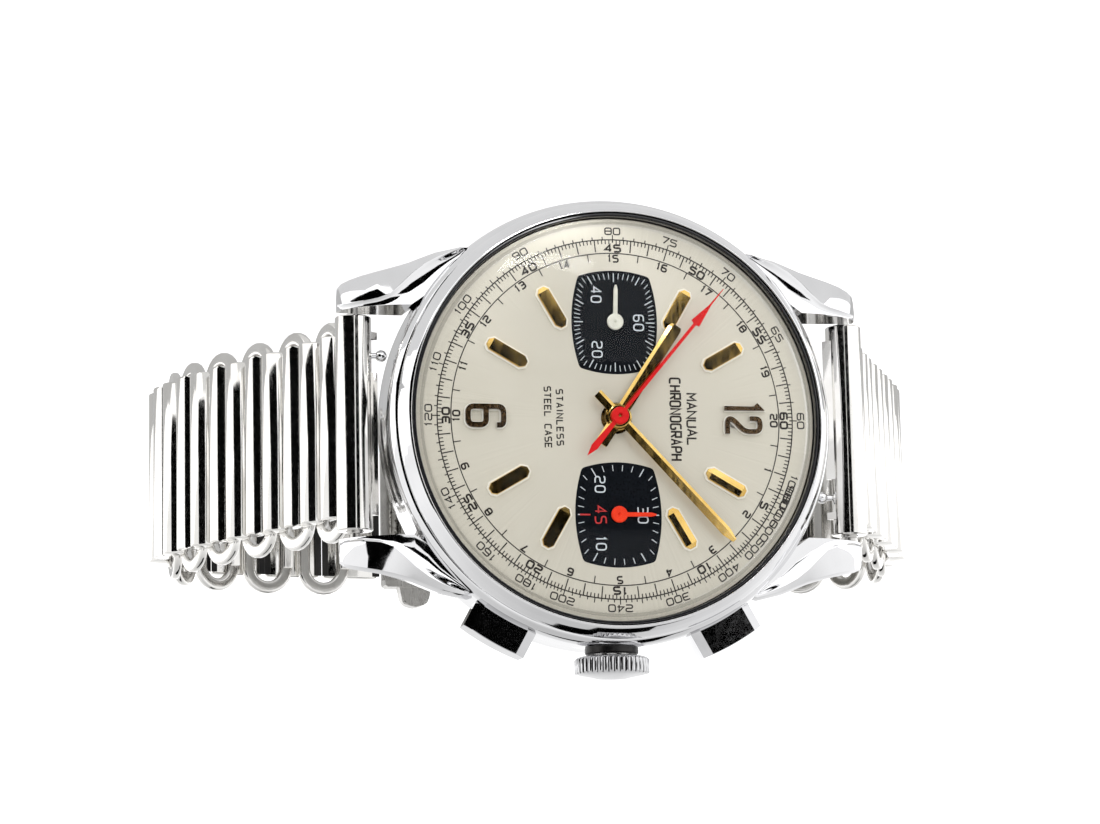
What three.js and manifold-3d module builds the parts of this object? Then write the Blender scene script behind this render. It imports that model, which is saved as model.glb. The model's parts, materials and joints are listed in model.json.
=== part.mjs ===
// A mechanical wrist chronograph on a ring-link metal bracelet, closed and lying on its 9 o'clock side.
//
// Watch frame, in millimetres: +X to 3 o'clock, +Y to 12 o'clock, +Z out of the dial, z = 0 on the dial.
// The watch is laid down at the end, so that +Z is up in the exported group and the origin is on the
// surface it lies on. Each moving piece has its own origin on its pivot.

import * as THREE from "three";
import { mergeVertices } from "three/addons/utils/BufferGeometryUtils.js";
import Module from "manifold-3d";

const wasm = await Module();
wasm.setup();

// ---------------------------------------------------------------- driving dimensions, mm

const CASE_RADIUS = 18.7;
const CASE_BORE = 16.6;
const CASE_TOP = -0.9;
const CASE_FLOOR = -7.2;
const JOINT_GAP = 0.3; // between pieces that touch on the real watch

const BEZEL_RADIUS = 18.1;
const RING_INNER = 16.55; // the black tension ring round the crystal
const RING_OUTER = 17.1;
const CRYSTAL_RADIUS = 16.25;
const CRYSTAL_WALL = 0.8;
const BACK_DEPTH = 9.2; // dial to the outer face of the case back

const DIAL_RADIUS = 16.3;
const DIAL_THICK = 0.4;
const SUBDIAL_OFFSET = 8; // hub of each small dial from the middle
const MARKER_RADIUS = 10.5;
const MARKER_LENGTH = 3.4;
const MARKER_WIDTH = 0.95;
const MARKER_FOOT = 0.05;
const MARKER_HEIGHT = 0.4;

const LUG_GAP = 19; // standard bracelet width
const LUG_REACH = 22.2;
const BAR_REACH = 21; // spring bars from the middle
const BAR_LEVEL = -4.8;

const STEM_LEVEL = -3.6; // crown and pusher axes
const CROWN_START = 19.3;
const CROWN_RADIUS = 3.1;
const CROWN_LENGTH = 1.9;
const CROWN_FLUTES = 20;
const FLUTE_DEPTH = 0.22;
const PUSHER_ANGLE = 29; // degrees from the crown
const PUSHER_START = 19.3; // inner face of a pusher's cap from the middle
const PUSHER_REACH = 20.5; // its outer face, which is an arc round the middle
const PUSHER_WIDTH = 5.6;
const PUSHER_HEIGHT = 2.6;

const BARREL_LINK = 1.25; // radius of a half-round bar of a bracelet cover
const COVER_HALF = 7.6; // half the length of a cover across the wrist
const COVER_COUNT = 10; // covers in each half of the bracelet
const STRIP = 0.8; // width of the wire of a ring
const STRIP_OFFSET = 0.75; // a ring's strip from the middle of its cover
const RING_HALF = 9.3; // half the length of a ring across the wrist
const RING_LOW = -1.3; // ring, from the band's centre line
const RING_HIGH = -0.55;
const TUBE_RADIUS = 1.5; // end tube round the spring bar
const KNOB_PLACE = 5.7; // quick-release knob from the middle, across the wrist
const KNOB_REACH = 2.3; // its ball from the spring bar
const KNOB_RADIUS = 0.5;
const CLASP_HALF = 12;

const LEAN_BACK = 10.4; // degrees: the case is wider than the bracelet, so the dial faces a little up

// ---------------------------------------------------------------- materials

function finish(color, roughness, metalness) {
  return new THREE.MeshStandardMaterial({ color, roughness, metalness });
}

const steel = finish(0xd9dbdd, 0.12, 1);
const brushed = finish(0xb9bbbd, 0.35, 1);
const gold = finish(0xc79a3c, 0.2, 1);
const brass = finish(0xb8944a, 0.3, 1);
const black = finish(0x0a0a0b, 0.3, 0);
const rubber = finish(0x1c1c1e, 0.8, 0);
const acrylic = finish(0xf4f6f6, 0.05, 0);
const cream = finish(0xddd6c4, 0.4, 0.3);
const red = finish(0xcd1417, 0.35, 0);
const orange = finish(0xf03214, 0.35, 0);
const white = finish(0xe4e4da, 0.4, 0);
const bronze = finish(0x5a4630, 0.3, 1);

// ---------------------------------------------------------------- solids

function toSolid(geometry) {
  const bare = geometry.index ? geometry.toNonIndexed() : geometry.clone();
  bare.deleteAttribute("normal");
  bare.deleteAttribute("uv");
  const merged = mergeVertices(bare, 1e-4);
  return new wasm.Manifold(
    new wasm.Mesh({
      numProp: 3,
      vertProperties: merged.attributes.position.array,
      triVerts: new Uint32Array(merged.index.array),
    }),
  );
}

function toGeometry(solid) {
  const mesh = solid.getMesh();
  const geometry = new THREE.BufferGeometry();
  geometry.setAttribute("position", new THREE.BufferAttribute(new Float32Array(mesh.vertProperties), 3));
  geometry.setIndex(new THREE.BufferAttribute(new Uint32Array(mesh.triVerts), 1));
  geometry.computeVertexNormals();
  return geometry;
}

function join(...geometries) {
  return toGeometry(geometries.map(toSolid).reduce((whole, next) => whole.add(next)));
}

function cut(geometry, ...tools) {
  return toGeometry(tools.map(toSolid).reduce((rest, tool) => rest.subtract(tool), toSolid(geometry)));
}

function common(first, second) {
  return toGeometry(toSolid(first).intersect(toSolid(second)));
}

// A profile of [radius, z] pairs turned about Z. It closes on itself unless it ends on the axis.
function lathe(profile, segments = 48) {
  const points = profile.map(([r, z]) => new THREE.Vector2(r, z));
  if (THREE.ShapeUtils.area(points) < 0) points.reverse();
  const onAxis = profile[0][0] === 0 && profile[profile.length - 1][0] === 0;
  if (!onAxis) points.push(points[0].clone());
  return new THREE.LatheGeometry(points, segments).rotateX(Math.PI / 2);
}

function tube(inner, outer, low, high, segments) {
  return lathe([[inner, low], [outer, low], [outer, high], [inner, high]], segments);
}

function outline(points) {
  return new THREE.Shape(points.map(([x, y]) => new THREE.Vector2(x, y)));
}

function disc(radius, x = 0, y = 0) {
  return new THREE.Shape().absarc(x, y, radius, 0, 2 * Math.PI, false);
}

function plate(shape, low, high, curveSegments = 12) {
  const options = { depth: high - low, bevelEnabled: false, curveSegments };
  return new THREE.ExtrudeGeometry(shape, options).translate(0, 0, low);
}

function rod(radius, low, high, x = 0, y = 0, segments = 12) {
  const geometry = new THREE.CylinderGeometry(radius, radius, high - low, segments);
  return geometry.rotateX(Math.PI / 2).translate(x, y, (low + high) / 2);
}

function block(sizeX, sizeY, sizeZ, x, y, z) {
  return new THREE.BoxGeometry(sizeX, sizeY, sizeZ).translate(x, y, z);
}

// Turns a geometry made along Z so that it lies along X.
function alongX(geometry) {
  return geometry.rotateY(Math.PI / 2);
}

// A wheel outline with pointed teeth.
function toothed(radius, teeth, depth) {
  const points = [];
  for (let i = 0; i < 2 * teeth; i++) {
    const r = i % 2 ? radius - depth : radius;
    const angle = (Math.PI * i) / teeth;
    points.push([r * Math.cos(angle), r * Math.sin(angle)]);
  }
  return outline(points);
}

const watch = new THREE.Group();

// Adds one piece. Its origin moves to the pivot, and its place stays.
function piece(name, geometry, material, pivot = [0, 0, 0], parent = watch) {
  const [x, y, z] = pivot;
  const mesh = new THREE.Mesh(geometry.translate(-x, -y, -z), material);
  mesh.name = name;
  mesh.position.set(x, y, z);
  parent.add(mesh);
  return mesh;
}

// ---------------------------------------------------------------- case

function lug(sideX, sideY) {
  const inner = LUG_GAP / 2;
  const plan = [[inner, 14.4], [inner, LUG_REACH], [11.3, LUG_REACH], [12.4, 18.6], [14.7, 12.6], [13.3, 11.3]];
  const side = [
    [11, -1.1], [16, -1.2], [19, -1.9], [21.2, -3.2], [LUG_REACH, -5],
    [LUG_REACH, -6.3], [21, -7], [16, -6.8], [11, -6.4],
  ];
  const above = plate(outline(plan.map(([x, y]) => [sideX * x, sideY * y])), -8, 0);
  const across = plate(outline(side.map(([y, z]) => [sideY * y, z])), -16, 16);
  const sideways = new THREE.Matrix4().makeBasis(
    new THREE.Vector3(0, 1, 0),
    new THREE.Vector3(0, 0, 1),
    new THREE.Vector3(1, 0, 0),
  );
  return common(above, across.applyMatrix4(sideways));
}

function caseMiddle() {
  const wall = lathe([
    [CASE_BORE, CASE_FLOOR], [17.9, CASE_FLOOR], [CASE_RADIUS, -6.2],
    [CASE_RADIUS, -1.9], [18.2, CASE_TOP], [CASE_BORE, CASE_TOP],
  ]);
  const lugs = [];
  const bores = [];
  for (const sideY of [1, -1]) {
    for (const sideX of [1, -1]) lugs.push(lug(sideX, sideY));
    for (const low of [9.2, -10.6]) {
      bores.push(alongX(rod(0.7, low, low + 1.4)).translate(0, sideY * BAR_REACH, BAR_LEVEL));
    }
  }
  bores.push(alongX(rod(1.8, 15, 20)).translate(0, 0, STEM_LEVEL));
  for (const turn of [PUSHER_ANGLE, -PUSHER_ANGLE]) {
    bores.push(alongX(rod(1.4, 15, 20)).translate(0, 0, STEM_LEVEL).rotateZ(THREE.MathUtils.degToRad(turn)));
  }
  return cut(join(wall, ...lugs), ...bores);
}

piece("case_middle", caseMiddle(), steel);

const BEZEL_FOOT = CASE_TOP + JOINT_GAP;
piece(
  "bezel",
  lathe([
    [RING_OUTER + 0.15, BEZEL_FOOT], [18, BEZEL_FOOT], [BEZEL_RADIUS, -0.3],
    [18, 0.35], [17.6, 0.8], [RING_OUTER + 0.15, 0.8],
  ]),
  steel,
);
piece("crystal_ring", tube(RING_INNER, RING_OUTER, BEZEL_FOOT, 0.75, 36), black);
piece(
  "crystal",
  lathe(
    [
      [0, 3.5], [7, 3.3], [13, 2.7], [15.6, 1.9], [CRYSTAL_RADIUS, 1.2],
      [CRYSTAL_RADIUS, JOINT_GAP], [CRYSTAL_RADIUS - CRYSTAL_WALL, JOINT_GAP],
      [15.2, 1.3], [13.6, 1.9], [7, 2.5], [0, 2.7],
    ],
    32,
  ),
  acrylic,
);
piece(
  "case_back",
  lathe([[0, -7.5], [17.6, -7.5], [17.6, -8], [15.6, -BACK_DEPTH], [0, -BACK_DEPTH]], 36),
  steel,
);
piece("case_back_gasket", tube(15.7, 16.25, CASE_FLOOR, -6.6, 24), rubber);

// ---------------------------------------------------------------- dial and markers

const dialPlate = disc(DIAL_RADIUS);
dialPlate.holes.push(disc(1.3), disc(0.45, SUBDIAL_OFFSET), disc(0.45, -SUBDIAL_OFFSET));
piece("dial", plate(dialPlate, -DIAL_THICK, 0, 16), cream);

const MARKER_TOP = MARKER_FOOT + MARKER_HEIGHT;
for (const hour of [1, 2, 4, 5, 7, 8, 10, 11]) {
  const low = MARKER_RADIUS - MARKER_LENGTH / 2;
  const high = MARKER_RADIUS + MARKER_LENGTH / 2;
  const half = MARKER_WIDTH / 2;
  const shape = outline([
    [-half, low + half], [0, low], [half, low + half], [half, high - half], [0, high], [-half, high - half],
  ]);
  const baton = plate(shape, MARKER_FOOT, MARKER_TOP).rotateZ((-hour * Math.PI) / 6);
  piece("marker_" + hour, baton, gold);
}

// The applied numerals are squared strokes, upright with 12 o'clock up.
function digitOne(x, low, high) {
  return outline([[x - 0.2, low], [x + 0.2, low], [x + 0.2, high], [x - 0.3, high], [x - 0.3, high - 0.4],
    [x - 0.2, high - 0.4]]);
}

function digitTwo(x, low, high) {
  const middle = (low + high) / 2;
  return outline([
    [x - 0.6, low], [x + 0.6, low], [x + 0.6, low + 0.4], [x - 0.2, low + 0.4], [x + 0.6, middle + 0.1],
    [x + 0.6, high], [x - 0.6, high], [x - 0.6, high - 0.8], [x - 0.2, high - 0.8], [x - 0.2, high - 0.4],
    [x + 0.2, high - 0.4], [x + 0.2, middle + 0.3], [x - 0.6, low + 0.6],
  ]);
}

function digitSix(x, low, high) {
  const middle = (low + high) / 2;
  const shape = outline([
    [x - 1, low], [x + 1, low], [x + 1, middle + 0.3], [x - 0.5, middle + 0.3], [x - 0.5, high - 0.45],
    [x + 0.5, high - 0.45], [x + 0.5, high - 0.8], [x + 1, high - 0.8], [x + 1, high], [x - 1, high],
  ]);
  shape.holes.push(outline([[x - 0.5, low + 0.45], [x - 0.5, middle - 0.15], [x + 0.5, middle - 0.15],
    [x + 0.5, low + 0.45]]));
  return shape;
}

piece("numeral_12_one", plate(digitOne(-0.9, 9.1, 12.3), MARKER_FOOT, MARKER_TOP), bronze);
piece("numeral_12_two", plate(digitTwo(0.55, 9.1, 12.3), MARKER_FOOT, MARKER_TOP), bronze);
piece("numeral_6", plate(digitSix(0, -12.7, -9.3), MARKER_FOOT, MARKER_TOP), bronze);

// ---------------------------------------------------------------- hands

// A hand that points to 12 in its own frame: a tapered blade and a hub, turned to the time it shows.
function hand({ name, tip, tail, width, low, high, hub, bore, sleeve, degrees, material, at = 0, root = width }) {
  const half = width / 2;
  const blade = outline([
    [-root / 2, 0], [-half, -tail], [half, -tail], [root / 2, 0],
    [half, tip - half], [0, tip], [-half, tip - half],
  ]);
  let solid = plate(blade, low, high);
  solid = join(solid, rod(hub, low, high, 0, 0, 12));
  if (bore) {
    solid = cut(join(solid, rod(sleeve, -0.3, high, 0, 0, 12)), rod(bore, -1, high + 1, 0, 0, 12));
  } else {
    solid = join(solid, rod(sleeve, -0.6, high, 0, 0, 8));
  }
  solid.rotateZ(THREE.MathUtils.degToRad(-degrees)).translate(at, 0, 0);
  return piece(name, solid, material, [at, 0, 0]);
}

const SMALL_HAND = { tip: 3.1, tail: 0.7, width: 0.33, low: 0.25, high: 0.45, hub: 0.68, sleeve: 0.25 };
hand({
  name: "hour_hand", tip: 8.4, tail: 2.7, width: 0.7, root: 0.95, low: 0.6, high: 0.82,
  hub: 1.15, bore: 0.8, sleeve: 1, degrees: 303.5, material: gold,
});
hand({
  name: "minute_hand", tip: 13.9, tail: 2.6, width: 0.6, root: 0.75, low: 0.92, high: 1.12,
  hub: 0.95, bore: 0.4, sleeve: 0.68, degrees: 47, material: gold,
});
hand({
  name: "chrono_seconds_hand", tip: 14, tail: 4.35, width: 0.3, low: 1.24, high: 1.42,
  hub: 0.72, sleeve: 0.28, degrees: 310, material: red,
});
hand({ ...SMALL_HAND, name: "running_seconds_hand", degrees: 272, material: white, at: -SUBDIAL_OFFSET });
hand({ ...SMALL_HAND, name: "minute_counter_hand", degrees: 0, material: orange, at: SUBDIAL_OFFSET });

// ---------------------------------------------------------------- movement

const PLATE_RADIUS = 15.2;
const TRAIN_BELOW = -5.6; // the train bridge ends here towards 6, and leaves room for the balance
const THIRD = [-4.24, -2.65];
const FOURTH = [-SUBDIAL_OFFSET, 0];
const ESCAPE = [-9.44, -3.95];
const BARREL = [3.9, 5.7];
const PALLETS = [-7.3, -6.6];
const BALANCE = [-0.4, -10.3];
const COUNTER = [SUBDIAL_OFFSET, 0];

const mainPlate = disc(PLATE_RADIUS);
mainPlate.holes.push(disc(1.3), disc(0.45, SUBDIAL_OFFSET), disc(0.45, -SUBDIAL_OFFSET));
piece("main_plate", plate(mainPlate, -2, -0.8, 12), brass);

// A wheel with its pinion on one arbor. Each level is [low, high].
function wheel(name, [x, y], radius, teeth, level, pinion, pinionLevel, arborLevel, material = brass) {
  const rim = plate(toothed(radius, teeth, 0.3), ...level);
  const leaves = plate(toothed(pinion, 8, 0.15), ...pinionLevel);
  const arbor = rod(0.22, ...arborLevel, 0, 0, 8);
  return piece(name, join(rim, leaves, arbor).translate(x, y, 0), material, [x, y, 0]);
}

wheel("mainspring_barrel", BARREL, 5.6, 24, [-3.8, -2.3], 1, [-5, -3.7], [-5.1, -2.15]);
wheel("center_wheel", [0, 0], 3.9, 20, [-4.7, -4.35], 1, [-4.4, -2.3], [-4.95, -2.15]);
wheel("third_wheel", THIRD, 3.6, 18, [-3.3, -2.95], 0.8, [-4.9, -3.2], [-5.1, -2.15]);
wheel("fourth_wheel", FOURTH, 3.3, 18, [-4.9, -4.55], 0.7, [-4.6, -2.7], [-5.1, -0.75]);
wheel("escape_wheel", ESCAPE, 2.2, 15, [-4.1, -3.8], 0.6, [-5, -4], [-5.1, -2.3]);
wheel("chrono_wheel", [0, 0], 3.4, 18, [-5.45, -5.15], 0.9, [-5.2, -5.05], [-5.6, -5.05]);
wheel("minute_counter_wheel", COUNTER, 4.2, 20, [-5.45, -5.15], 0.5, [-5.2, -4.6], [-5.6, -0.75]);

// The anchor reaches round the escape wheel, and the lever reaches to the balance's roller.
function palletFork() {
  const anchor = outline([
    [-0.6, -0.5], [0.4, -1.4], [1.2, -2.3], [1.5, -2], [1.2, -1.7], [0.6, -0.6],
    [0.6, 0.6], [1.2, 1.7], [1.5, 2], [1.2, 2.3], [0.4, 1.4], [-0.6, 0.5],
  ]);
  const lever = outline([
    [-0.3, -0.35], [5.2, -0.25], [5.9, -0.75], [6.2, -0.4], [5.6, 0],
    [6.2, 0.4], [5.9, 0.75], [5.2, 0.25], [-0.3, 0.35],
  ]);
  const towards = ([x, y]) => Math.atan2(y - PALLETS[1], x - PALLETS[0]);
  return join(
    plate(anchor, -4.1, -3.85).rotateZ(towards(ESCAPE)),
    plate(lever, -4.1, -3.85).rotateZ(towards(BALANCE)),
    rod(0.22, -5.1, -2.3, 0, 0, 8),
  );
}

piece("pallet_fork", palletFork().translate(...PALLETS, 0), steel, [...PALLETS, 0]);

function balanceWheel() {
  const rim = disc(4.2);
  for (const start of [0.12, Math.PI + 0.12]) {
    rim.holes.push(new THREE.Shape().absarc(0, 0, 3.5, start, start + Math.PI - 0.24, false));
  }
  return join(plate(rim, -3.55, -3.05, 7), rod(0.3, -5.1, -2.3, 0, 0, 8), rod(0.9, -4.6, -4.3, 0, 0, 12));
}

piece("balance_wheel", balanceWheel().translate(...BALANCE, 0), brass, [...BALANCE, 0]);

function trainBridge() {
  const radius = 14.6;
  const start = Math.asin(TRAIN_BELOW / radius);
  const shape = new THREE.Shape().absarc(0, 0, radius, start, Math.PI - start, false);
  const pillars = [[13, 4.2], [-13, 4.2], [11.5, -4.4], [-3.5, 12.6]];
  return join(plate(shape, -6.4, -5.75, 10), ...pillars.map(([x, y]) => rod(0.8, -5.9, -2.3, x, y, 10)));
}

piece("train_bridge", trainBridge(), brushed);
const cock = outline([[-1.8, -9.3], [-1.8, -11.6], [8.6, -11.2], [9.4, -9.2], [8.2, -8.2]]);
piece("balance_cock", join(plate(cock, -6.4, -5.5), rod(0.9, -5.7, -2.3, 7.9, -9.9, 10)), brushed);

// ---------------------------------------------------------------- crown and pushers

piece("crown_tube", alongX(tube(0.85, 1.5, 16.9, 19, 16)).translate(0, 0, STEM_LEVEL), steel);
const stem = alongX(join(rod(0.45, 10.5, 19, 0, 0, 10), rod(0.75, 12.2, 13.4, 0, 0, 10)));
piece("winding_stem", stem.translate(0, 0, STEM_LEVEL), steel, [CROWN_START, 0, STEM_LEVEL]);

function crown() {
  const end = CROWN_START + CROWN_LENGTH;
  const gripEnd = end - 0.45;
  const grip = plate(toothed(CROWN_RADIUS, CROWN_FLUTES, FLUTE_DEPTH), CROWN_START + 0.35, gripEnd);
  const neck = rod(CROWN_RADIUS - 0.6, CROWN_START, CROWN_START + 0.5, 0, 0, 16);
  const rim = CROWN_RADIUS - FLUTE_DEPTH - 0.05;
  const dome = lathe([[0, gripEnd - 0.2], [rim, gripEnd - 0.2], [rim, gripEnd + 0.1], [1.8, end - 0.1], [0, end]], 20);
  return alongX(join(grip, neck, dome)).translate(0, 0, STEM_LEVEL);
}

piece("crown", crown(), steel, [CROWN_START, 0, STEM_LEVEL]);
const leverLow = STEM_LEVEL - 1.25;
const leverShape = outline([[12, -2.6], [12.5, 0.5], [13.1, 0.5], [13.6, -2.6], [12.8, -3.4]]);
piece("setting_lever", plate(leverShape, leverLow, leverLow + 0.35), brushed, [12.8, 0, leverLow]);

// A block whose outer face follows the case.
function pusherCap() {
  const half = PUSHER_WIDTH / 2;
  const spread = Math.asin(half / PUSHER_REACH);
  const shape = new THREE.Shape();
  shape.moveTo(PUSHER_START, -half);
  shape.absarc(0, 0, PUSHER_REACH, -spread, spread, false);
  shape.lineTo(PUSHER_START, half);
  return plate(shape, STEM_LEVEL - PUSHER_HEIGHT / 2, STEM_LEVEL + PUSHER_HEIGHT / 2, 8);
}

for (const [name, turn] of [["start", PUSHER_ANGLE], ["reset", -PUSHER_ANGLE]]) {
  const angle = THREE.MathUtils.degToRad(turn);
  const shaft = alongX(rod(0.5, 15.6, PUSHER_START + 0.5, 0, 0, 10)).translate(0, 0, STEM_LEVEL);
  const pivot = [PUSHER_START * Math.cos(angle), PUSHER_START * Math.sin(angle), STEM_LEVEL];
  piece(name + "_pusher", join(pusherCap(), shaft).rotateZ(angle), steel, pivot);
  const coil = alongX(tube(0.75, 1.05, 16.9, 18.5, 12)).translate(0, 0, STEM_LEVEL);
  piece(name + "_pusher_spring", coil.rotateZ(angle), steel);
}

// ---------------------------------------------------------------- bracelet

// The band's centre line in the plane x = 0, from the 12 o'clock spring bar round to the clasp's middle:
// [distance from the dial's axis, depth below the dial].
const LOOP = [[BAR_REACH, -BAR_LEVEL], [24.6, 12.6], [28.4, 20.2], [31.9, 28], [33.3, 36], [30, 42.6],
  [24, 45.8], [12, 47.6], [0, 48]];
const mirrored = LOOP.slice(0, -1).reverse().map(([out, depth]) => [-out, depth]);
const loopCurve = new THREE.CatmullRomCurve3(
  [...LOOP, ...mirrored].map(([out, depth]) => new THREE.Vector3(0, out, -depth)),
  false,
  "centripetal",
);
const LOOP_LENGTH = loopCurve.getLength();
const HALF_LENGTH = LOOP_LENGTH / 2;
const END_BAR = TUBE_RADIUS + 0.15 + BARREL_LINK; // middle of the end link's own half-round bar
const FIRST_EDGE = END_BAR + BARREL_LINK + JOINT_GAP;
const PITCH = (HALF_LENGTH - CLASP_HALF - FIRST_EDGE) / COVER_COUNT;
const ACROSS = new THREE.Vector3(1, 0, 0);

// The frame on the centre line at a distance from the spring bar: ACROSS, along, and out of the loop.
function frameAt(distance) {
  const share = distance / LOOP_LENGTH;
  const along = loopCurve.getTangentAt(share);
  const out = new THREE.Vector3().crossVectors(ACROSS, along);
  return { place: loopCurve.getPointAt(share), along, out };
}

// Puts a profile made as [along, out] and extruded across the wrist on the centre line.
function barAt(distance, shape, half, curveSegments = 4) {
  const { place, along, out } = frameAt(distance);
  const matrix = new THREE.Matrix4().makeBasis(along, out, ACROSS).setPosition(place);
  return plate(shape, -half, half, curveSegments).applyMatrix4(matrix);
}

function coverAt(distance) {
  const r = BARREL_LINK;
  const shape = new THREE.Shape();
  shape.moveTo(-2 * r - 0.05, -0.2);
  shape.absarc(-r - 0.05, 0, r, Math.PI, 0, true);
  shape.absarc(r + 0.05, 0, r, Math.PI, 0, true);
  shape.lineTo(2 * r + 0.05, -0.2);
  return barAt(distance, shape, COVER_HALF);
}

// A flat ring with round ends, its two long strips at the distances start and end.
function ringAt(start, end) {
  const { place, along, out } = frameAt((start + end) / 2);
  const radius = (end - start) / 2 + STRIP / 2;
  const straight = RING_HALF - radius;
  const stadium = (r) => {
    const shape = new THREE.Shape();
    shape.absarc(straight, 0, r, -Math.PI / 2, Math.PI / 2, false);
    shape.absarc(-straight, 0, r, Math.PI / 2, (3 * Math.PI) / 2, false);
    return shape;
  };
  const shape = stadium(radius);
  shape.holes.push(stadium(radius - STRIP));
  const matrix = new THREE.Matrix4().makeBasis(ACROSS, along, out).setPosition(place);
  return plate(shape, RING_LOW, RING_HIGH, 3).applyMatrix4(matrix);
}

// The bar of solder that ties a ring's strip to the cover above it.
function tieAt(distance) {
  return barAt(distance, outline([[-0.3, -0.9], [0.3, -0.9], [0.3, 0.2], [-0.3, 0.2]]), 5);
}

const coverPlace = (index) => FIRST_EDGE + PITCH * (index + 0.5);

// The ring in front of a cover runs from the piece before it, where it turns, to the cover's own tie.
function ringStart(index) {
  return index ? coverPlace(index - 1) + STRIP_OFFSET : END_BAR + 0.1;
}

function linkSolids(index) {
  const end = coverPlace(index) - STRIP_OFFSET;
  return [coverAt(coverPlace(index)), ringAt(ringStart(index), end), tieAt(end)];
}

// A pivot lies in the middle of a ring's strip.
function pivotAt(distance) {
  const { place, out } = frameAt(distance);
  return place.addScaledVector(out, (RING_LOW + RING_HIGH) / 2).toArray();
}

const SEGMENTS = [[0, 1], [2, 3], [4, 5, 6], [7, 8, 9]]; // covers in each link node

function endLink() {
  const barrel = alongX(tube(1, TUBE_RADIUS, -8.9, 8.9, 16)).translate(0, BAR_REACH, BAR_LEVEL);
  const bar = new THREE.Shape();
  bar.moveTo(-BARREL_LINK - 0.4, -0.2);
  bar.lineTo(-BARREL_LINK - 0.4, 0.3);
  bar.absarc(0, 0, BARREL_LINK, Math.PI - 0.25, 0, true);
  bar.lineTo(BARREL_LINK, -0.2);
  const window = block(3.4, 1.6, 1.3, 6.2, BAR_REACH - 1.4, BAR_LEVEL);
  return cut(join(barrel, barAt(END_BAR, bar, COVER_HALF)), window);
}

function springBar() {
  return alongX(join(rod(0.65, -9.1, 9.1, 0, 0, 10), rod(0.42, -10.3, 10.3, 0, 0, 10)));
}

function releaseKnob() {
  const pin = rod(0.28, 0.95, KNOB_REACH, 0, 0, 8).rotateX(Math.PI / 2);
  const head = new THREE.SphereGeometry(KNOB_RADIUS, 10, 8).translate(0, -KNOB_REACH, 0);
  return join(pin, head);
}

// One half of the bracelet, built towards 12 o'clock and turned to its own side.
for (const [side, turn] of [["12", 0], ["6", Math.PI]]) {
  const half = new THREE.Group();
  half.rotation.z = turn;
  watch.add(half);
  const hinge = [0, BAR_REACH, BAR_LEVEL];
  piece("end_link_" + side, endLink(), steel, hinge, half);
  piece("spring_bar_" + side, springBar().translate(...hinge), steel, hinge, half);
  const knobPlace = [KNOB_PLACE, BAR_REACH, BAR_LEVEL];
  piece("release_knob_" + side, releaseKnob().translate(...knobPlace), steel, knobPlace, half);
  SEGMENTS.forEach((covers, order) => {
    const solids = covers.flatMap(linkSolids);
    const inner = covers.slice(1).map((index) => tieAt(ringStart(index)));
    const pivot = pivotAt(ringStart(covers[0]));
    piece(`link_${side}_${order + 1}`, join(...solids, ...inner), steel, pivot, half);
  });
}

// ---------------------------------------------------------------- clasp

const CLASP_LEVEL = -LOOP[LOOP.length - 1][1];

function claspCover() {
  const length = 2 * CLASP_HALF - 1;
  const top = block(16.8, length, 0.8, 0, 0, CLASP_LEVEL - 1);
  const walls = [-8, 8].map((x) => block(0.8, length - 1.6, 2.3, x, 0, CLASP_LEVEL + 0.1));
  const loop = alongX(rod(0.5, -8, 8, 0, 0, 8)).translate(0, CLASP_HALF - 1.4, CLASP_LEVEL);
  return join(top, ...walls, loop);
}

const leafAxis = [0, 1.6 - CLASP_HALF, CLASP_LEVEL];
const foldAxis = [0, CLASP_HALF - 3.4, CLASP_LEVEL + 0.5];

function leaf(width, start, end, level) {
  return block(width, end - start, 0.45, 0, (start + end) / 2, level);
}

function middleLeaf() {
  const knuckle = alongX(rod(0.45, -6.8, 6.8, 0, 0, 8));
  return join(leaf(13.6, leafAxis[1], foldAxis[1], CLASP_LEVEL), knuckle.translate(...leafAxis));
}

function innerLeaf() {
  const knuckle = alongX(rod(0.35, -5, 5, 0, 0, 8)).translate(0, foldAxis[1] - 0.6, CLASP_LEVEL + 0.85);
  return join(leaf(10, leafAxis[1] + 0.5, foldAxis[1] - 0.6, CLASP_LEVEL + 0.85), knuckle);
}

piece("clasp_cover", claspCover(), steel, [0, CLASP_HALF - 1.4, CLASP_LEVEL]);
piece("clasp_middle_leaf", middleLeaf(), brushed, leafAxis);
piece("clasp_inner_leaf", innerLeaf(), brushed, [0, foldAxis[1] - 0.6, CLASP_LEVEL + 0.85]);

// ---------------------------------------------------------------- lay the watch down

// 3 o'clock goes up, 12 o'clock to -X, and the dial faces -Y.
const upright = new THREE.Matrix4().makeBasis(
  new THREE.Vector3(0, 0, 1),
  new THREE.Vector3(-1, 0, 0),
  new THREE.Vector3(0, -1, 0),
);
watch.quaternion.setFromRotationMatrix(upright);
const leaning = new THREE.Group();
leaning.rotation.x = -THREE.MathUtils.degToRad(LEAN_BACK);
leaning.add(watch);
const chronograph = new THREE.Group();
chronograph.add(leaning);
chronograph.updateMatrixWorld(true);

const box = new THREE.Box3().setFromObject(chronograph, true);
const middle = box.getCenter(new THREE.Vector3());
leaning.position.set(-middle.x, -middle.y, -box.min.z);

export default chronograph;
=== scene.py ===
"""The looks of a mechanical wrist chronograph on a ring-link bracelet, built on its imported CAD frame.

Shapes are written in the watch's own frame, in millimetres: +X to 3 o'clock, +Y to 12 o'clock, +Z out of
the dial, z = 0 on the dial. WATCH turns that frame into the row frame, where the watch lies on its side.
"""

import json
import math

import bmesh
import bpy
from mathutils import Matrix, Vector


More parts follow.
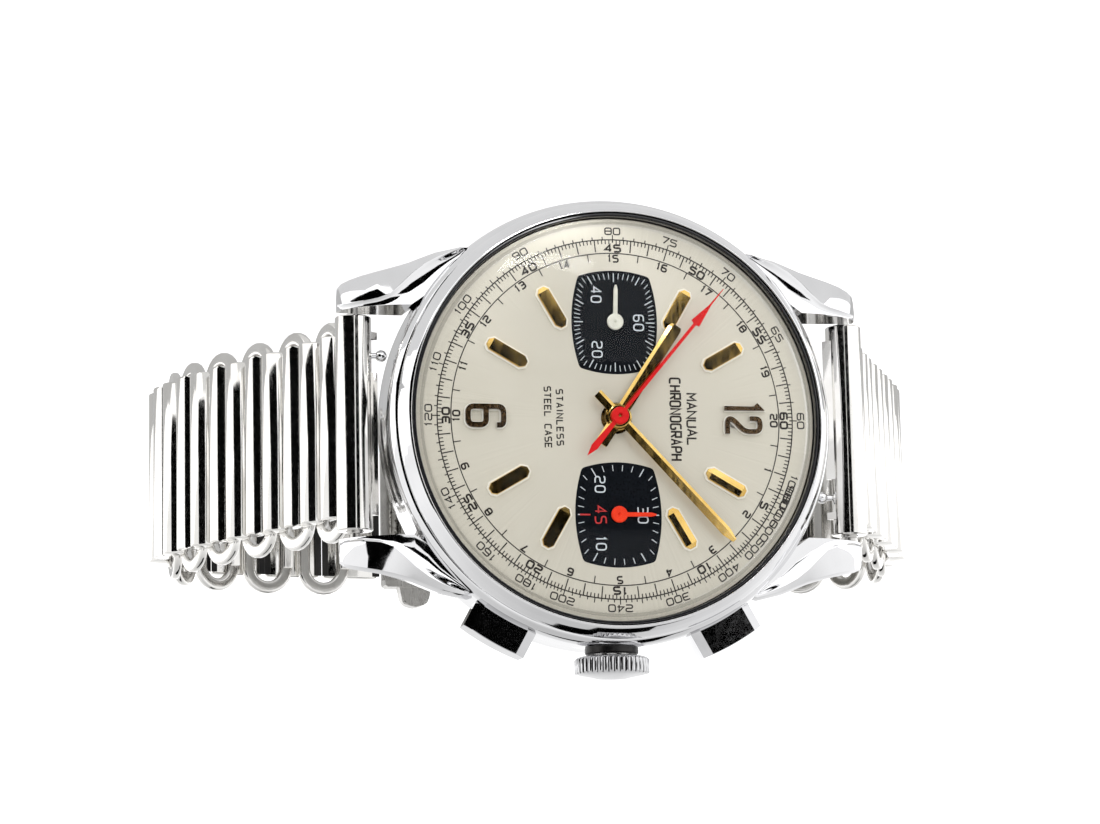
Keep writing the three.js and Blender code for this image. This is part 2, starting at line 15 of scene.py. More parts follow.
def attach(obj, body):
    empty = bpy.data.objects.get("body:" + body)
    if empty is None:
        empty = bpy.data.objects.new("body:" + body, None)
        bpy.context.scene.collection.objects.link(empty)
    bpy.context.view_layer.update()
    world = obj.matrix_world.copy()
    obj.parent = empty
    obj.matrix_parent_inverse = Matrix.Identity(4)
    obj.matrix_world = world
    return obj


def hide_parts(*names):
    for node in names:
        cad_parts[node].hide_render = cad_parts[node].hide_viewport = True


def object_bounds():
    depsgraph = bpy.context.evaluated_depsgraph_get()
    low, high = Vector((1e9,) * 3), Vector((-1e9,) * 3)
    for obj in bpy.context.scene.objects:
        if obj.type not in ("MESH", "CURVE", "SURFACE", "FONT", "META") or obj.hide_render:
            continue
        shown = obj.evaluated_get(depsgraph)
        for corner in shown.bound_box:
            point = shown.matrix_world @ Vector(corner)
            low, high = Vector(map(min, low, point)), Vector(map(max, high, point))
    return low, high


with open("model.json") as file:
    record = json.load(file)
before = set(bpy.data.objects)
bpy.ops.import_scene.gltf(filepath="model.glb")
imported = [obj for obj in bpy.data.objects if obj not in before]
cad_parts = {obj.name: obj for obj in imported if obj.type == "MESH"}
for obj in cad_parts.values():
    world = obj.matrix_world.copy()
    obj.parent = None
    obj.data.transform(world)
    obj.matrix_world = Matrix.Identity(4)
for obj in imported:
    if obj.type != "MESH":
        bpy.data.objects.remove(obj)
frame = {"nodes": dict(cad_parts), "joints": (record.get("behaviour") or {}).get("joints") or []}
CAD_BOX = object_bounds()

# ---------------------------------------------------------------- the watch's own frame

JOINTS = {joint["name"]: joint for joint in frame["joints"]}
TO_3 = Vector(JOINTS["crown_pull"]["axis"]).normalized()
FACING = -Vector(JOINTS["minute_hand_turn"]["axis"]).normalized()
TO_12 = FACING.cross(TO_3)
MIDDLE = Vector(JOINTS["minute_hand_turn"]["pos_m"])
TURN = Matrix((TO_3, TO_12, FACING)).transposed()
WATCH = Matrix.Translation(MIDDLE) @ TURN.to_4x4()
MM = 0.001

# ---------------------------------------------------------------- driving dimensions, mm (as in the CAD)

CASE_RADIUS = 18.7
CASE_BORE = 16.6
CASE_TOP = -0.9
CASE_FLOOR = -7.2
BEZEL_FOOT = -0.6
BEZEL_RADIUS = 18.1
RING_FACE = 16.78
RING_OUTER = 17.1
BACK_DEPTH = 9.2

DIAL_RADIUS = 16.7
DIAL_THICKNESS = 0.4
SUBDIAL_OFFSET = 8
MARKER_RADIUS = 10.5
MARKER_LENGTH = 3.7
MARKER_WIDTH = 1.1
MARKER_FOOT = 0.05
MARKER_HEIGHT = 0.4

LUG_HALF_GAP = 9.5
BAR_REACH = 21
BAR_LEVEL = -4.8

STEM_LEVEL = -3.6
CROWN_START = 19.3
CROWN_RADIUS = 3.1
CROWN_LENGTH = 1.9
CROWN_RIBS = 40
PUSHER_ANGLE = 29
PUSHER_START = 19.3
PUSHER_REACH = 20.9
PUSHER_WIDTH = 5.6
PUSHER_HEIGHT = 2.6

BARREL_LINK = 1.25
COVER_HALF = 7.6
COVER_COUNT = 10
STRIP = 0.8
STRIP_OFFSET = 0.75
WIRE_WIDTH = 1.15
RING_HALF = 9.3
RING_LOW = -1.3
RING_HIGH = -0.55
TUBE_RADIUS = 1.5
KNOB_PLACE = 5.7
KNOB_REACH = 2.3
KNOB_RADIUS = 0.5
CLASP_HALF = 12
JOINT_GAP = 0.3
SEGMENTS = [[0, 1], [2, 3], [4, 5, 6], [7, 8, 9]]
LOOP = [(BAR_REACH, -BAR_LEVEL), (24.6, 12.6), (28.4, 20.2), (31.9, 28), (33.3, 36), (30, 42.6),
        (24, 45.8), (12, 47.6), (0, 48)]
CLASP_LEVEL = -LOOP[-1][1]

# the dial's printing
OUTER_TRACK = 14.94
INNER_TRACK = 13.8
INK_LEVEL = 0.012
SUBDIAL_LEVEL = 0.01
SUBDIAL_INK = 0.022

# ---------------------------------------------------------------- materials


def add(tree, kind, inputs=(), **settings):
    """Adds a node. inputs pairs its sockets with plain values, or with the outputs that feed them."""
    node = tree.nodes.new("ShaderNode" + kind)
    for key, value in settings.items():
        setattr(node, key, value)
    for key, value in dict(inputs).items():
        if isinstance(value, bpy.types.NodeSocket):
            tree.links.new(value, node.inputs[key])
        else:
            node.inputs[key].default_value = value
    return node


def principled(name, color, roughness, metallic=0.0, **sockets):
    """A node material with one Principled shader. Returns the material, its node tree and the shader."""
    material = bpy.data.materials.new(name)
    material.use_nodes = True
    shader = material.node_tree.nodes["Principled BSDF"]
    sockets.update(Base_Color=(*color, 1), Roughness=roughness, Metallic=metallic)
    for key, value in sockets.items():
        shader.inputs[key.replace("_", " ")].default_value = value
    return material, material.node_tree, shader


def object_coordinates(tree, stretch=(1, 1, 1)):
    """Object coordinates in metres, stretched along the axes."""
    source = add(tree, "TexCoord").outputs["Object"]
    return add(tree, "Mapping", {"Vector": source, "Scale": stretch}).outputs["Vector"]


def noise(tree, per_mm, detail=4.0, stretch=(1, 1, 1)):
    """Noise with about that many features in a millimetre."""
    vector = object_coordinates(tree, stretch)
    return add(tree, "TexNoise", {"Vector": vector, "Scale": per_mm / MM, "Detail": detail}).outputs["Fac"]


def ranged(tree, value, low, high, start=0.3, stop=0.7):
    """A value that runs from low to high as the input runs from start to stop."""
    limits = {"From Min": start, "From Max": stop, "To Min": low, "To Max": high}
    return add(tree, "MapRange", {"Value": value, **limits}).outputs["Result"]


def tinted(tree, value, dark, light):
    """A colour between dark and light."""
    ramp = add(tree, "ValToRGB", {"Fac": value})
    for element, place, color in zip(ramp.color_ramp.elements, (0.3, 0.7), (dark, light)):
        element.position = place
        element.color = (*color, 1)
    return ramp.outputs["Color"]


def dressed(paint, tint, dark, light, wear, roughness, height=None, depth_mm=0.0):
    """Feeds a shader's colour, roughness and height from its patterns, and returns its material."""
    material, tree, shader = paint
    tree.links.new(tinted(tree, tint, dark, light), shader.inputs["Base Color"])
    tree.links.new(ranged(tree, wear, *roughness), shader.inputs["Roughness"])
    if height is not None:
        bump = add(tree, "Bump", {"Height": height, "Distance": depth_mm * MM, "Strength": 1})
        tree.links.new(bump.outputs["Normal"], shader.inputs["Normal"])
    return material


def worn_metal(name, dark, light, roughness, grain=(1, 1, 1), per_mm=1.5, depth_mm=0.0006):
    """Metal with faint tarnish and hairline wear: patches in colour, fine grain in roughness and height."""
    paint = principled(name, light, roughness[0], 1.0)
    patches = noise(paint[1], 0.12 * per_mm, 3.0)
    hairs = noise(paint[1], per_mm, 6.0, grain)
    return dressed(paint, patches, dark, light, hairs, roughness, hairs, depth_mm)


def lacquer(name, dark, light, roughness, coat=0.4):
    """Paint on metal, with slight unevenness."""
    paint = principled(name, light, roughness, Coat_Weight=coat, Coat_Roughness=0.08, Specular_IOR_Level=0.2)
    patches, fine = noise(paint[1], 1.4, 3.0), noise(paint[1], 12, 2.0)
    return dressed(paint, patches, dark, light, patches, (roughness, roughness + 0.1), fine, 0.0008)


def ink(name, dark, light, roughness=0.45):
    """Pad-printed ink, a little uneven."""
    paint = principled(name, light, roughness)
    spread = noise(paint[1], 9, 3)
    return dressed(paint, spread, dark, light, spread, (roughness - 0.1, roughness + 0.15))


def grained(name, dark, light, roughness, per_mm, detail, depth_mm, specular=0.5):
    """Rubber or black paint: one fine grain in colour, roughness and height."""
    paint = principled(name, light, roughness[0], Specular_IOR_Level=specular)
    grain = noise(paint[1], per_mm, detail)
    return dressed(paint, grain, dark, light, grain, roughness, grain, depth_mm)


def stippled_steel():
    """Stamped clasp plate with small pits all over."""
    paint = principled("stippled_steel", (0.7, 0.69, 0.66), 0.3, 1.0)
    tree = paint[1]
    cells = add(tree, "TexVoronoi", {"Vector": object_coordinates(tree), "Scale": 2.2 / MM})
    pits = ranged(tree, cells.outputs["Distance"], 0, 1, 0.1, 0.5)
    return dressed(paint, pits, (0.16, 0.155, 0.14), (0.5, 0.49, 0.46), noise(tree, 3), (0.2, 0.4), pits, 0.06)


def perlage():
    """Overlapping polished spots on the main plate."""
    paint = principled("perlage_brass", (0.62, 0.46, 0.2), 0.3, 1.0)
    tree = paint[1]
    spots = {"Vector": object_coordinates(tree), "Scale": 0.8 / MM, "Randomness": 0.15}
    distance = add(tree, "TexVoronoi", spots).outputs["Distance"]
    rings = add(tree, "Math", {0: distance, 1: 0.06}, operation="PINGPONG")
    height = ranged(tree, rings.outputs[0], 0, 1, 0, 0.06)
    return dressed(paint, height, (0.5, 0.35, 0.13), (0.68, 0.5, 0.22), height, (0.2, 0.36, 0, 1), height, 0.004)


def striped_steel():
    """Bridges with broad polished stripes."""
    paint = principled("striped_steel", (0.66, 0.66, 0.66), 0.2, 1.0)
    tree = paint[1]
    stripes = {"Vector": object_coordinates(tree), "Scale": 0.16 / MM, "Distortion": 0.4}
    wave = add(tree, "TexWave", stripes).outputs["Fac"]
    return dressed(paint, wave, (0.5, 0.5, 0.5), (0.72, 0.72, 0.72), wave, (0.15, 0.35, 0, 1), wave, 0.01)


def dial_silver():
    """Silvered cream with a fine sunburst: hairs that run out from the middle."""
    paint = principled("dial_silver", (0.74, 0.7, 0.59), 0.4, 0.22, Anisotropic=0.7)
    _, tree, shader = paint
    place = add(tree, "SeparateXYZ", {"Vector": object_coordinates(tree)})
    angle = add(tree, "Math", {0: place.outputs["Y"], 1: place.outputs["X"]}, operation="ARCTAN2")
    sunburst = {"W": angle.outputs[0], "Scale": 70, "Detail": 6}
    rays = add(tree, "TexNoise", sunburst, noise_dimensions="1D").outputs["Fac"]
    blend = add(tree, "Mix", {"Factor": 0.35, 2: rays, 3: noise(tree, 0.1, 3.0)})
    tangent = add(tree, "Tangent", direction_type="RADIAL", axis="Z")
    tree.links.new(tangent.outputs["Tangent"], shader.inputs["Tangent"])
    return dressed(paint, blend.outputs[0], (0.65, 0.615, 0.53), (0.71, 0.675, 0.59), rays, (0.3, 0.42),
                   rays, 0.0012)


def acrylic():
    """A clear shell: it lets everything through except the mirror part of the light."""
    material, tree, shader = principled("clear_acrylic", (1, 1, 1), 0)
    tree.nodes.remove(shader)
    scuffs = ranged(tree, noise(tree, 0.8, 5), 0.0, 0.05, 0.45, 0.75)
    fresnel = add(tree, "Fresnel", {"IOR": 1.3}).outputs["Fac"]
    clear = add(tree, "BsdfTransparent", {"Color": (0.995, 0.996, 0.99, 1)})
    mirror = add(tree, "BsdfGlossy", {"Roughness": scuffs})
    share = ranged(tree, fresnel, 0.0, 0.3, 0.0, 1.0)
    mix = add(tree, "MixShader", {0: share, 1: clear.outputs["BSDF"], 2: mirror.outputs["BSDF"]})
    tree.links.new(mix.outputs["Shader"], tree.nodes["Material Output"].inputs["Surface"])
    return material


CASE_STEEL = worn_metal("case_steel", (0.79, 0.79, 0.80), (0.87, 0.87, 0.88), (0.03, 0.08))
BRACELET_STEEL = worn_metal("bracelet_steel", (0.79, 0.775, 0.745), (0.89, 0.88, 0.86), (0.05, 0.13), per_mm=2.5)
BRUSHED_STEEL = worn_metal("brushed_steel", (0.52, 0.51, 0.49), (0.68, 0.67, 0.65), (0.22, 0.4),
                           (0.05, 1, 1), 6.0, 0.002)
BACK_STEEL = worn_metal("back_steel", (0.62, 0.62, 0.62), (0.78, 0.78, 0.77), (0.3, 0.45),
                        (1, 0.06, 1), 5.0, 0.0015)
# A darker copy of the case steel for the crown and pushers: painted shade, so that their ends read grey.
GREYED_CONTROL_STEEL = worn_metal("control_steel_painted_grey", (0.5, 0.5, 0.51), (0.64, 0.64, 0.65), (0.05, 0.1),
                           per_mm=2.0, depth_mm=0.0003)
# Near-black steel with no blue in it: painted shade round the crown's foot and in the gaps between the bracelet's
# covers.
SHADE_BLACK_STEEL = worn_metal("shade_black_steel", (0.02, 0.02, 0.022), (0.06, 0.058, 0.055), (0.3, 0.5))
STIPPLED_STEEL = stippled_steel()
STRIPED_STEEL = striped_steel()
GOLD = worn_metal("gold", (0.60, 0.38, 0.10), (0.84, 0.58, 0.2), (0.06, 0.16), (0.2, 1, 1), 3.0, 0.001)
# The gold made dark brown for the applied 12 and 6: a painted dark reflection.
GILT_PAINTED_DARK = worn_metal("gilt_painted_dark", (0.07, 0.042, 0.022), (0.16, 0.10, 0.05), (0.15, 0.35), per_mm=4.0)
MOVEMENT_BRASS = worn_metal("movement_brass", (0.48, 0.33, 0.12), (0.66, 0.48, 0.20), (0.2, 0.38), per_mm=3.0)
PERLAGE = perlage()
RUBBER = grained("gasket_rubber", (0.018, 0.018, 0.02), (0.045, 0.045, 0.05), (0.65, 0.9), 6, 4, 0.01)
DIAL_SILVER = dial_silver()
SUBDIAL_BLACK = grained("subdial_black", (0.003, 0.004, 0.006), (0.007, 0.009, 0.013), (0.25, 0.4),
                        5, 3, 0.001, 0.05)
DARK_INK = ink("dark_ink", (0.012, 0.008, 0.006), (0.024, 0.015, 0.012))
PALE_INK = ink("pale_ink", (0.5, 0.56, 0.62), (0.7, 0.75, 0.8))
RED_INK = ink("red_ink", (0.5, 0.01, 0.012), (0.62, 0.02, 0.02))
# Pale cream feet under the batons and figures: a painted highlight along their bevelled edges.
EDGE_HIGHLIGHT_CREAM = lacquer("edge_highlight_cream", (0.9, 0.87, 0.79), (0.96, 0.94, 0.88), 0.3, 0.0)
BLACK_GLOSS = lacquer("black_gloss", (0.004, 0.004, 0.005), (0.01, 0.01, 0.012), 0.12, 0.8)
RED_LACQUER = lacquer("red_lacquer", (0.62, 0.004, 0.006), (0.76, 0.008, 0.01), 0.35, 0.0)
ORANGE_LACQUER = lacquer("orange_lacquer", (0.8, 0.03, 0.006), (0.95, 0.05, 0.01), 0.35, 0.0)
WHITE_LACQUER = lacquer("white_lacquer", (0.66, 0.66, 0.58), (0.8, 0.8, 0.72), 0.35)
ACRYLIC = acrylic()

# ---------------------------------------------------------------- shapes: each is (points, faces)


def joined(*shapes):
    points, faces = [], []
    for more, rings in shapes:
        start = len(points)
        points += more
        faces += [[start + i for i in ring] for ring in rings]
    return points, faces


def moved(shape, matrix):
    points, faces = shape
    return [matrix @ Vector(p) for p in points], faces


def arc(x, y, radius, start, stop, steps):
    """Points on an arc, angles in radians, both ends included."""
    turn = (stop - start) / steps
    return [(x + radius * math.cos(start + turn * i), y + radius * math.sin(start + turn * i))
            for i in range(steps + 1)]


def bow(first, last, sagitta, steps):
    """Points from first to last on an arc that stands out by sagitta to the right of the way."""
    (x0, y0), (x1, y1) = first, last
    chord = math.hypot(x1 - x0, y1 - y0)
    across = ((y1 - y0) / chord, (x0 - x1) / chord)
    points = []
    for i in range(steps + 1):
        t = i / steps
        lift = 4 * sagitta * t * (1 - t)
        points.append((x0 + (x1 - x0) * t + across[0] * lift, y0 + (y1 - y0) * t + across[1] * lift))
    return points


def filleted(points, radius, steps=4, closed=True):
    """The same outline with each corner rounded by about that radius."""
    out = []
    count = len(points)
    for i, corner in enumerate(points):
        if not closed and i in (0, count - 1):
            out.append(tuple(corner))
            continue
        here = Vector(corner)
        before, after = Vector(points[i - 1]), Vector(points[(i + 1) % count])
        start = here + (before - here).normalized() * min(radius, (before - here).length * 0.48)
        stop = here + (after - here).normalized() * min(radius, (after - here).length * 0.48)
        for k in range(steps + 1):
            t = k / steps
            out.append(tuple(start * (1 - t) ** 2 + here * 2 * t * (1 - t) + stop * t * t))
    return out


def lathe(profile, steps=160, fillet=0.0):
    """A profile of (radius, z) turned about Z. It closes on itself unless both its ends are on the axis."""
    on_axis = profile[0][0] == 0 and profile[-1][0] == 0
    if fillet:
        profile = filleted(profile, fillet, 4, not on_axis)
    count = len(profile)
    points = []
    for i in range(steps):
        angle = 2 * math.pi * i / steps
        points += [(r * math.cos(angle), r * math.sin(angle), z) for r, z in profile]
    faces = []
    for i in range(steps):
        here, there = i * count, (i + 1) % steps * count
        for k in range(count - on_axis):
            n = (k + 1) % count
            faces.append([here + k, there + k, there + n, here + n])
    return points, faces


def loft(rings, closed=False):
    """A skin over rings of equal length, which closes on itself or has both its ends capped."""
    count = len(rings[0])
    points = [p for ring in rings for p in ring]
    faces = [] if closed else [list(range(count))[::-1], [len(points) - count + k for k in range(count)]]
    for i in range(len(rings) - (not closed)):
        here, there = i * count, (i + 1) % len(rings) * count
        for k in range(count):
            n = (k + 1) % count
            faces.append([here + k, here + n, there + n, there + k])
    return points, faces


def freed(mesh):
    """The shape of a bmesh, which is then freed."""
    mesh.verts.index_update()
    shape = [tuple(v.co) for v in mesh.verts], [[v.index for v in face.verts] for face in mesh.faces]
    mesh.free()
    return shape


def prism(outline, low, high, bevel=0.0, both=False):
    """An outline of (x, y) raised from low to high, with its upper edge (or both edges) bevelled."""
    count = len(outline)
    area = sum(outline[i - 1][0] * outline[i][1] - outline[i][0] * outline[i - 1][1] for i in range(count))
    if area < 0:
        outline = outline[::-1]
    mesh = bmesh.new()
    foot = [mesh.verts.new((x, y, low)) for x, y in outline]
    top = [mesh.verts.new((x, y, high)) for x, y in outline]
    mesh.faces.new(foot[::-1])
    mesh.faces.new(top)
    for i in range(count):
        mesh.faces.new((foot[i - 1], foot[i], top[i], top[i - 1]))
    if bevel:
        ends = [set(ring) for ring in ((foot, top) if both else (top,))]
        edges = [e for e in mesh.edges if any(set(e.verts) <= ring for ring in ends)]
        bmesh.ops.bevel(mesh, geom=edges, offset=bevel, segments=2, affect="EDGES", clamp_overlap=True)
    return freed(mesh)


def mirrored(half):
    """An outline from the points on its right side and at x = 0, and the same points on its left."""
    return half + [(-x, y) for x, y in half[::-1] if x]


def box(half, low, high):
    return [(-half, low), (half, low), (half, high), (-half, high)]


def along_x(shape):
    """Turns a shape made along Z so that it lies along X."""
    return moved(shape, Matrix.Rotation(math.pi / 2, 4, "Y"))


def rod(radius, start, stop, steps=24, end=0.08):
    """A round bar between two points, with softened ends."""
    start, stop = Vector(start), Vector(stop)
    length = (stop - start).length
    end = min(end, radius * 0.6, length * 0.4)
    profile = [(0, 0), (radius - end, 0), (radius, end), (radius, length - end), (radius - end, length),
               (0, length)]
    turn = (stop - start).to_track_quat("Z", "Y").to_matrix().to_4x4()
    return moved(lathe(profile, steps), Matrix.Translation(start) @ turn)


def blade(stations, low, edges, ridge, share):
    """A roofed strip along +Y: stations are (y, half width). Its ridge runs at that share of the half width."""
    rings = []
    for y, half in stations:
        rings.append([(-half, y, low), (half, y, low), (half, y, edges[1]), (half * share, y, ridge),
                      (-half, y, edges[0])])
    return loft(rings)


# ---------------------------------------------------------------- strokes: ticks, digits and words

BOX = [(0, 0), (1, 0), (1, 1), (0, 1), (0, 0)]
GLYPHS = {
    "0": [BOX],
    "1": [[(0.2, 0.78), (0.55, 1), (0.55, 0)]],
    "2": [[(0, 0.86), (0, 1), (1, 1), (1, 0.5), (0, 0.5), (0, 0), (1, 0)]],
    "3": [[(0, 1), (1, 1), (1, 0), (0, 0)], [(0.2, 0.52), (1, 0.52)]],
    "4": [[(0.74, 0), (0.74, 1), (0, 0.3), (1, 0.3)]],
    "5": [[(1, 1), (0, 1), (0, 0.56), (1, 0.56), (1, 0), (0, 0)]],
    "6": [[(1, 1), (0, 1), (0, 0), (1, 0), (1, 0.54), (0, 0.54)]],
    "7": [[(0, 1), (1, 1), (0.35, 0)]],
    "8": [BOX, [(0, 0.52), (1, 0.52)]],
    "9": [[(0, 0), (1, 0), (1, 1), (0, 1), (0, 0.46), (1, 0.46)]],
    "A": [[(0, 0), (0.5, 1), (1, 0)], [(0.2, 0.34), (0.8, 0.34)]],
    "C": [[(1, 1), (0, 1), (0, 0), (1, 0)]],
    "E": [[(1, 1), (0, 1), (0, 0), (1, 0)], [(0, 0.52), (0.85, 0.52)]],
    "G": [[(1, 1), (0, 1), (0, 0), (1, 0), (1, 0.46), (0.55, 0.46)]],
    "H": [[(0, 0), (0, 1)], [(1, 0), (1, 1)], [(0, 0.52), (1, 0.52)]],
    "I": [[(0.5, 0), (0.5, 1)]],
    "L": [[(0, 1), (0, 0), (1, 0)]],
    "M": [[(0, 0), (0, 1), (0.5, 0.4), (1, 1), (1, 0)]],
    "N": [[(0, 0), (0, 1), (1, 0), (1, 1)]],
    "O": [BOX],
    "P": [[(0, 0), (0, 1), (1, 1), (1, 0.46), (0, 0.46)]],
    "R": [[(0, 0), (0, 1), (1, 1), (1, 0.46), (0, 0.46)], [(0.5, 0.46), (1, 0)]],
    "S": [[(1, 1), (0, 1), (0, 0.52), (1, 0.52), (1, 0), (0, 0)]],
    "T": [[(0, 1), (1, 1)], [(0.5, 1), (0.5, 0)]],
    "U": [[(0, 1), (0, 0), (1, 0), (1, 1)]],
}
SHARP = set("147AEHILMNRT")
NARROW = {"1": 0.6, "I": 0.3}


def ribbon(line, width, level):
    """A flat strip of that width along a line of (x, y), mitred at its bends."""
    count = len(line)
    closed = line[0] == line[-1] and count > 3
    if closed:
        line = line[:-1]
        count -= 1
    line = [Vector(p) for p in line]
    points = []
    for i, here in enumerate(line):
        before = line[i - 1] if closed or i else here
        after = line[(i + 1) % count] if closed or i < count - 1 else here
        first = (here - before).normalized() if before != here else (after - here).normalized()
        second = (after - here).normalized() if after != here else first
        along = (first + second).normalized() if (first + second).length > 1e-6 else first
        side = Vector((-along.y, along.x))
        stretch = 1 / max(0.45, side.dot(Vector((-first.y, first.x))))
        for sign in (1, -1):
            p = here + side * sign * width / 2 * stretch
            points.append((p.x, p.y, level))
    faces = []
    for i in range(count if closed else count - 1):
        j = (i + 1) % count
        faces.append([2 * i, 2 * i + 1, 2 * j + 1, 2 * j])
    return points, faces


def glyph_lines(text, height, wide=0.62, gap=0.3, rounding=0.3):
    """The strokes of a text whose middle is the origin, as lines of (x, y)."""
    cell = height * wide
    places, x = [], 0.0
    for letter in text:
        width = cell * NARROW.get(letter, 1)
        places.append((letter, x, width))
        x += width + height * gap
    total = x - height * gap
    lines = []
    for letter, start, width in places:
        for stroke in GLYPHS.get(letter, []):
            points = [(start - total / 2 + u * width, (v - 0.5) * height) for u, v in stroke]
            closed = stroke[0] == stroke[-1]
            if letter in SHARP:
                lines.append(points)
            elif closed:
                soft = filleted(points[:-1], rounding * height, 4, True)
                lines.append(soft + [soft[0]])
            else:
                lines.append(filleted(points, rounding * height, 4, False))
    return lines


def text(words, height, width, level, x=0.0, y=0.0, clockwise=0.0, **style):
    """A text with its middle at (x, y), turned clockwise by that many degrees."""
    turn = Matrix.Rotation(-math.radians(clockwise), 4, "Z")
    shape = joined(*[ribbon(line, width, level) for line in glyph_lines(words, height, **style)])
    return moved(shape, Matrix.Translation((x, y, 0)) @ turn)


def around(degrees, radius):
    """The place at a radius, clockwise from 12 o'clock."""
    angle = math.radians(degrees)
    return radius * math.sin(angle), radius * math.cos(angle)


def radial_text(words, degrees, radius, height, width, level, **style):
    x, y = around(degrees, radius)
    return text(words, height, width, level, x, y, degrees, **style)


def tick(degrees, inner, outer, width, level):
    return ribbon([around(degrees, inner), around(degrees, outer)], width, level)


def circle(radius, width, level, steps=180):
    line = [around(360 * i / steps, radius) for i in range(steps)]
    return ribbon(line + [line[0]], width, level)


# ---------------------------------------------------------------- pieces

MERGE_METRES = 1e-7
FLAT_METRES = 1e-8


def placed(made, place):
    """Puts a new object in the scene."""
    made.matrix_world = place
    bpy.context.scene.collection.objects.link(made)
    return made


def build(name, shape, material, body, replaces=(), crease=32, turned=False, solid=True):
    """Makes one piece from a shape in the watch's frame, and puts it on its body."""
    points, faces = shape
    sign = -1 if turned else 1
    mesh = bpy.data.meshes.new(name)
    mesh.from_pydata([(sign * x * MM, sign * y * MM, z * MM) for x, y, z in points], [], faces)
    shaped = bmesh.new()
    shaped.from_mesh(mesh)
    bmesh.ops.remove_doubles(shaped, verts=shaped.verts, dist=MERGE_METRES)
    bmesh.ops.dissolve_degenerate(shaped, edges=shaped.edges, dist=FLAT_METRES)
    if solid:
        bmesh.ops.recalc_face_normals(shaped, faces=shaped.faces)
    shaped.to_mesh(mesh)
    shaped.free()
    for polygon in mesh.polygons:
        polygon.use_smooth = True
    mesh.set_sharp_from_angle(angle=math.radians(crease))
    mesh.materials.append(material)
    made = placed(bpy.data.objects.new(name, mesh), WATCH)
    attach(made, body)
    if replaces:
        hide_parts(*replaces)
    return made


# ---------------------------------------------------------------- case

# Stations along a lug, from its root to its tip: distance towards 12 or 6, outer edge, ridge between the
# polished top and the hollow inside it, height of the ridge, height of the outer edge.
LUG_STATIONS = [
    (11.7, 14.4, 14.3, -1.64, -2.26),
    (12.2, 14.5, 14.3, -1.6, -2.3),
    (13.4, 14.22, 13.9, -1.6, -2.35),
    (14.4, 13.98, 13.5, -1.62, -2.4),
    (15.5, 13.55, 12.9, -1.66, -2.42),
    (16.6, 13.1, 12.05, -1.74, -2.45),
    (17.4, 12.85, 11.25, -1.84, -2.5),
    (18.3, 12.6, 10.45, -2.0, -2.6),
    (19.3, 12.35, 10.1, -2.3, -2.85),
    (20.4, 12.1, 9.95, -2.9, -3.4),
    (21.3, 11.85, 9.9, -3.7, -4.15),
    (21.9, 11.6, 9.9, -4.45, -4.85),
    (22.2, 11.25, 10.05, -5.2, -5.5),
]
WALL_RADIUS = 18.6
WALL_LEVEL = -1.8
LUG_FOOT = -6.6
# a lug's foot rises, and its flank leaves the level of the case wall, over these lengths from these reaches
RISE_START, RISE_LENGTH, RISE = 19, 3.2, 0.5
FLANK_START, FLANK_LENGTH, FLANK_DROP = 16.6, 2.4, 0.25
FLANK_SHARES = (0.0, 0.12, 0.28, 0.45, 0.6, 0.75, 0.88, 0.985)


def lug(side_x, side_y):
    """One lug: a polished horn on the outside, and a hollow flank between it and the case."""
    rings = []
    for reach, outer, ridge, level, outer_level in LUG_STATIONS:
        inner = max(LUG_HALF_GAP, math.sqrt(max(0.0, WALL_RADIUS ** 2 - reach ** 2)))
        inner = min(inner, ridge - 0.05)
        blend = min(1.0, max(0.0, (reach - FLANK_START) / FLANK_LENGTH))
        start = WALL_LEVEL + (level - FLANK_DROP - WALL_LEVEL) * blend
        depth = min(0.22, 0.1 * (ridge - inner))
        foot = LUG_FOOT + RISE * max(0.0, (reach - RISE_START) / RISE_LENGTH)
        ring = [(inner, foot)]
        for share in FLANK_SHARES:
            x = inner + (ridge - inner) * share
            ring.append((x, start + (level - start) * share ** 1.5 - depth * math.sin(math.pi * share)))
        side = max(0.1, min(0.7, (outer_level - foot) * 0.3))
        ring += [
            (ridge + 0.03, level), (ridge + (outer - ridge) * 0.55, level + (outer_level - level) * 0.5),
            (outer - 0.04, outer_level + 0.03), (outer, outer_level - 0.03),
            (outer + 0.18, outer_level - side), (outer + 0.15, outer_level - side - 0.06),
            (outer - 0.3, foot + 0.15), (outer - 0.5, foot),
        ]
        rings.append([(side_x * x, side_y * reach, z) for x, z in ring])
    return loft(rings)


def case_band():
    """The round part of the case, with its rim and its step under the bezel."""
    return lathe([
        (CASE_BORE, CASE_FLOOR), (17.9, CASE_FLOOR), (18.6, -6.95), (CASE_RADIUS + 0.08, -6.5),
        (CASE_RADIUS + 0.08, -6.1), (CASE_RADIUS + 0.03, -5.4), (CASE_RADIUS, -4.4), (CASE_RADIUS, -2.1),
        (18.55, -1.5), (18.15, -1.0), (CASE_BORE, CASE_TOP),
    ], 200, 0.18)


build("case_band", case_band(), CASE_STEEL, "case", ["case_middle"])
for end_y in ("12", "6"):
    for end_x in ("near_3", "near_9"):
        sides = (1 if end_x == "near_3" else -1, 1 if end_y == "12" else -1)
        build(f"lug_{end_y}_{end_x}", lug(*sides), CASE_STEEL, "case", ["case_middle"], 24)

# The ring where the crown tube leaves the case is real; its near-black colour is painted shade between the crown
# and the case.
crown_foot_shade = along_x(lathe([(1.6, 18.2), (2.2, 18.2), (2.2, 19.0), (2.1, 19.1), (1.7, 19.1), (1.6, 19.0)], 64))
build("crown_foot_shade", moved(crown_foot_shade, Matrix.Translation((0, 0, STEM_LEVEL))), SHADE_BLACK_STEEL, "case",
      ["case_middle"])

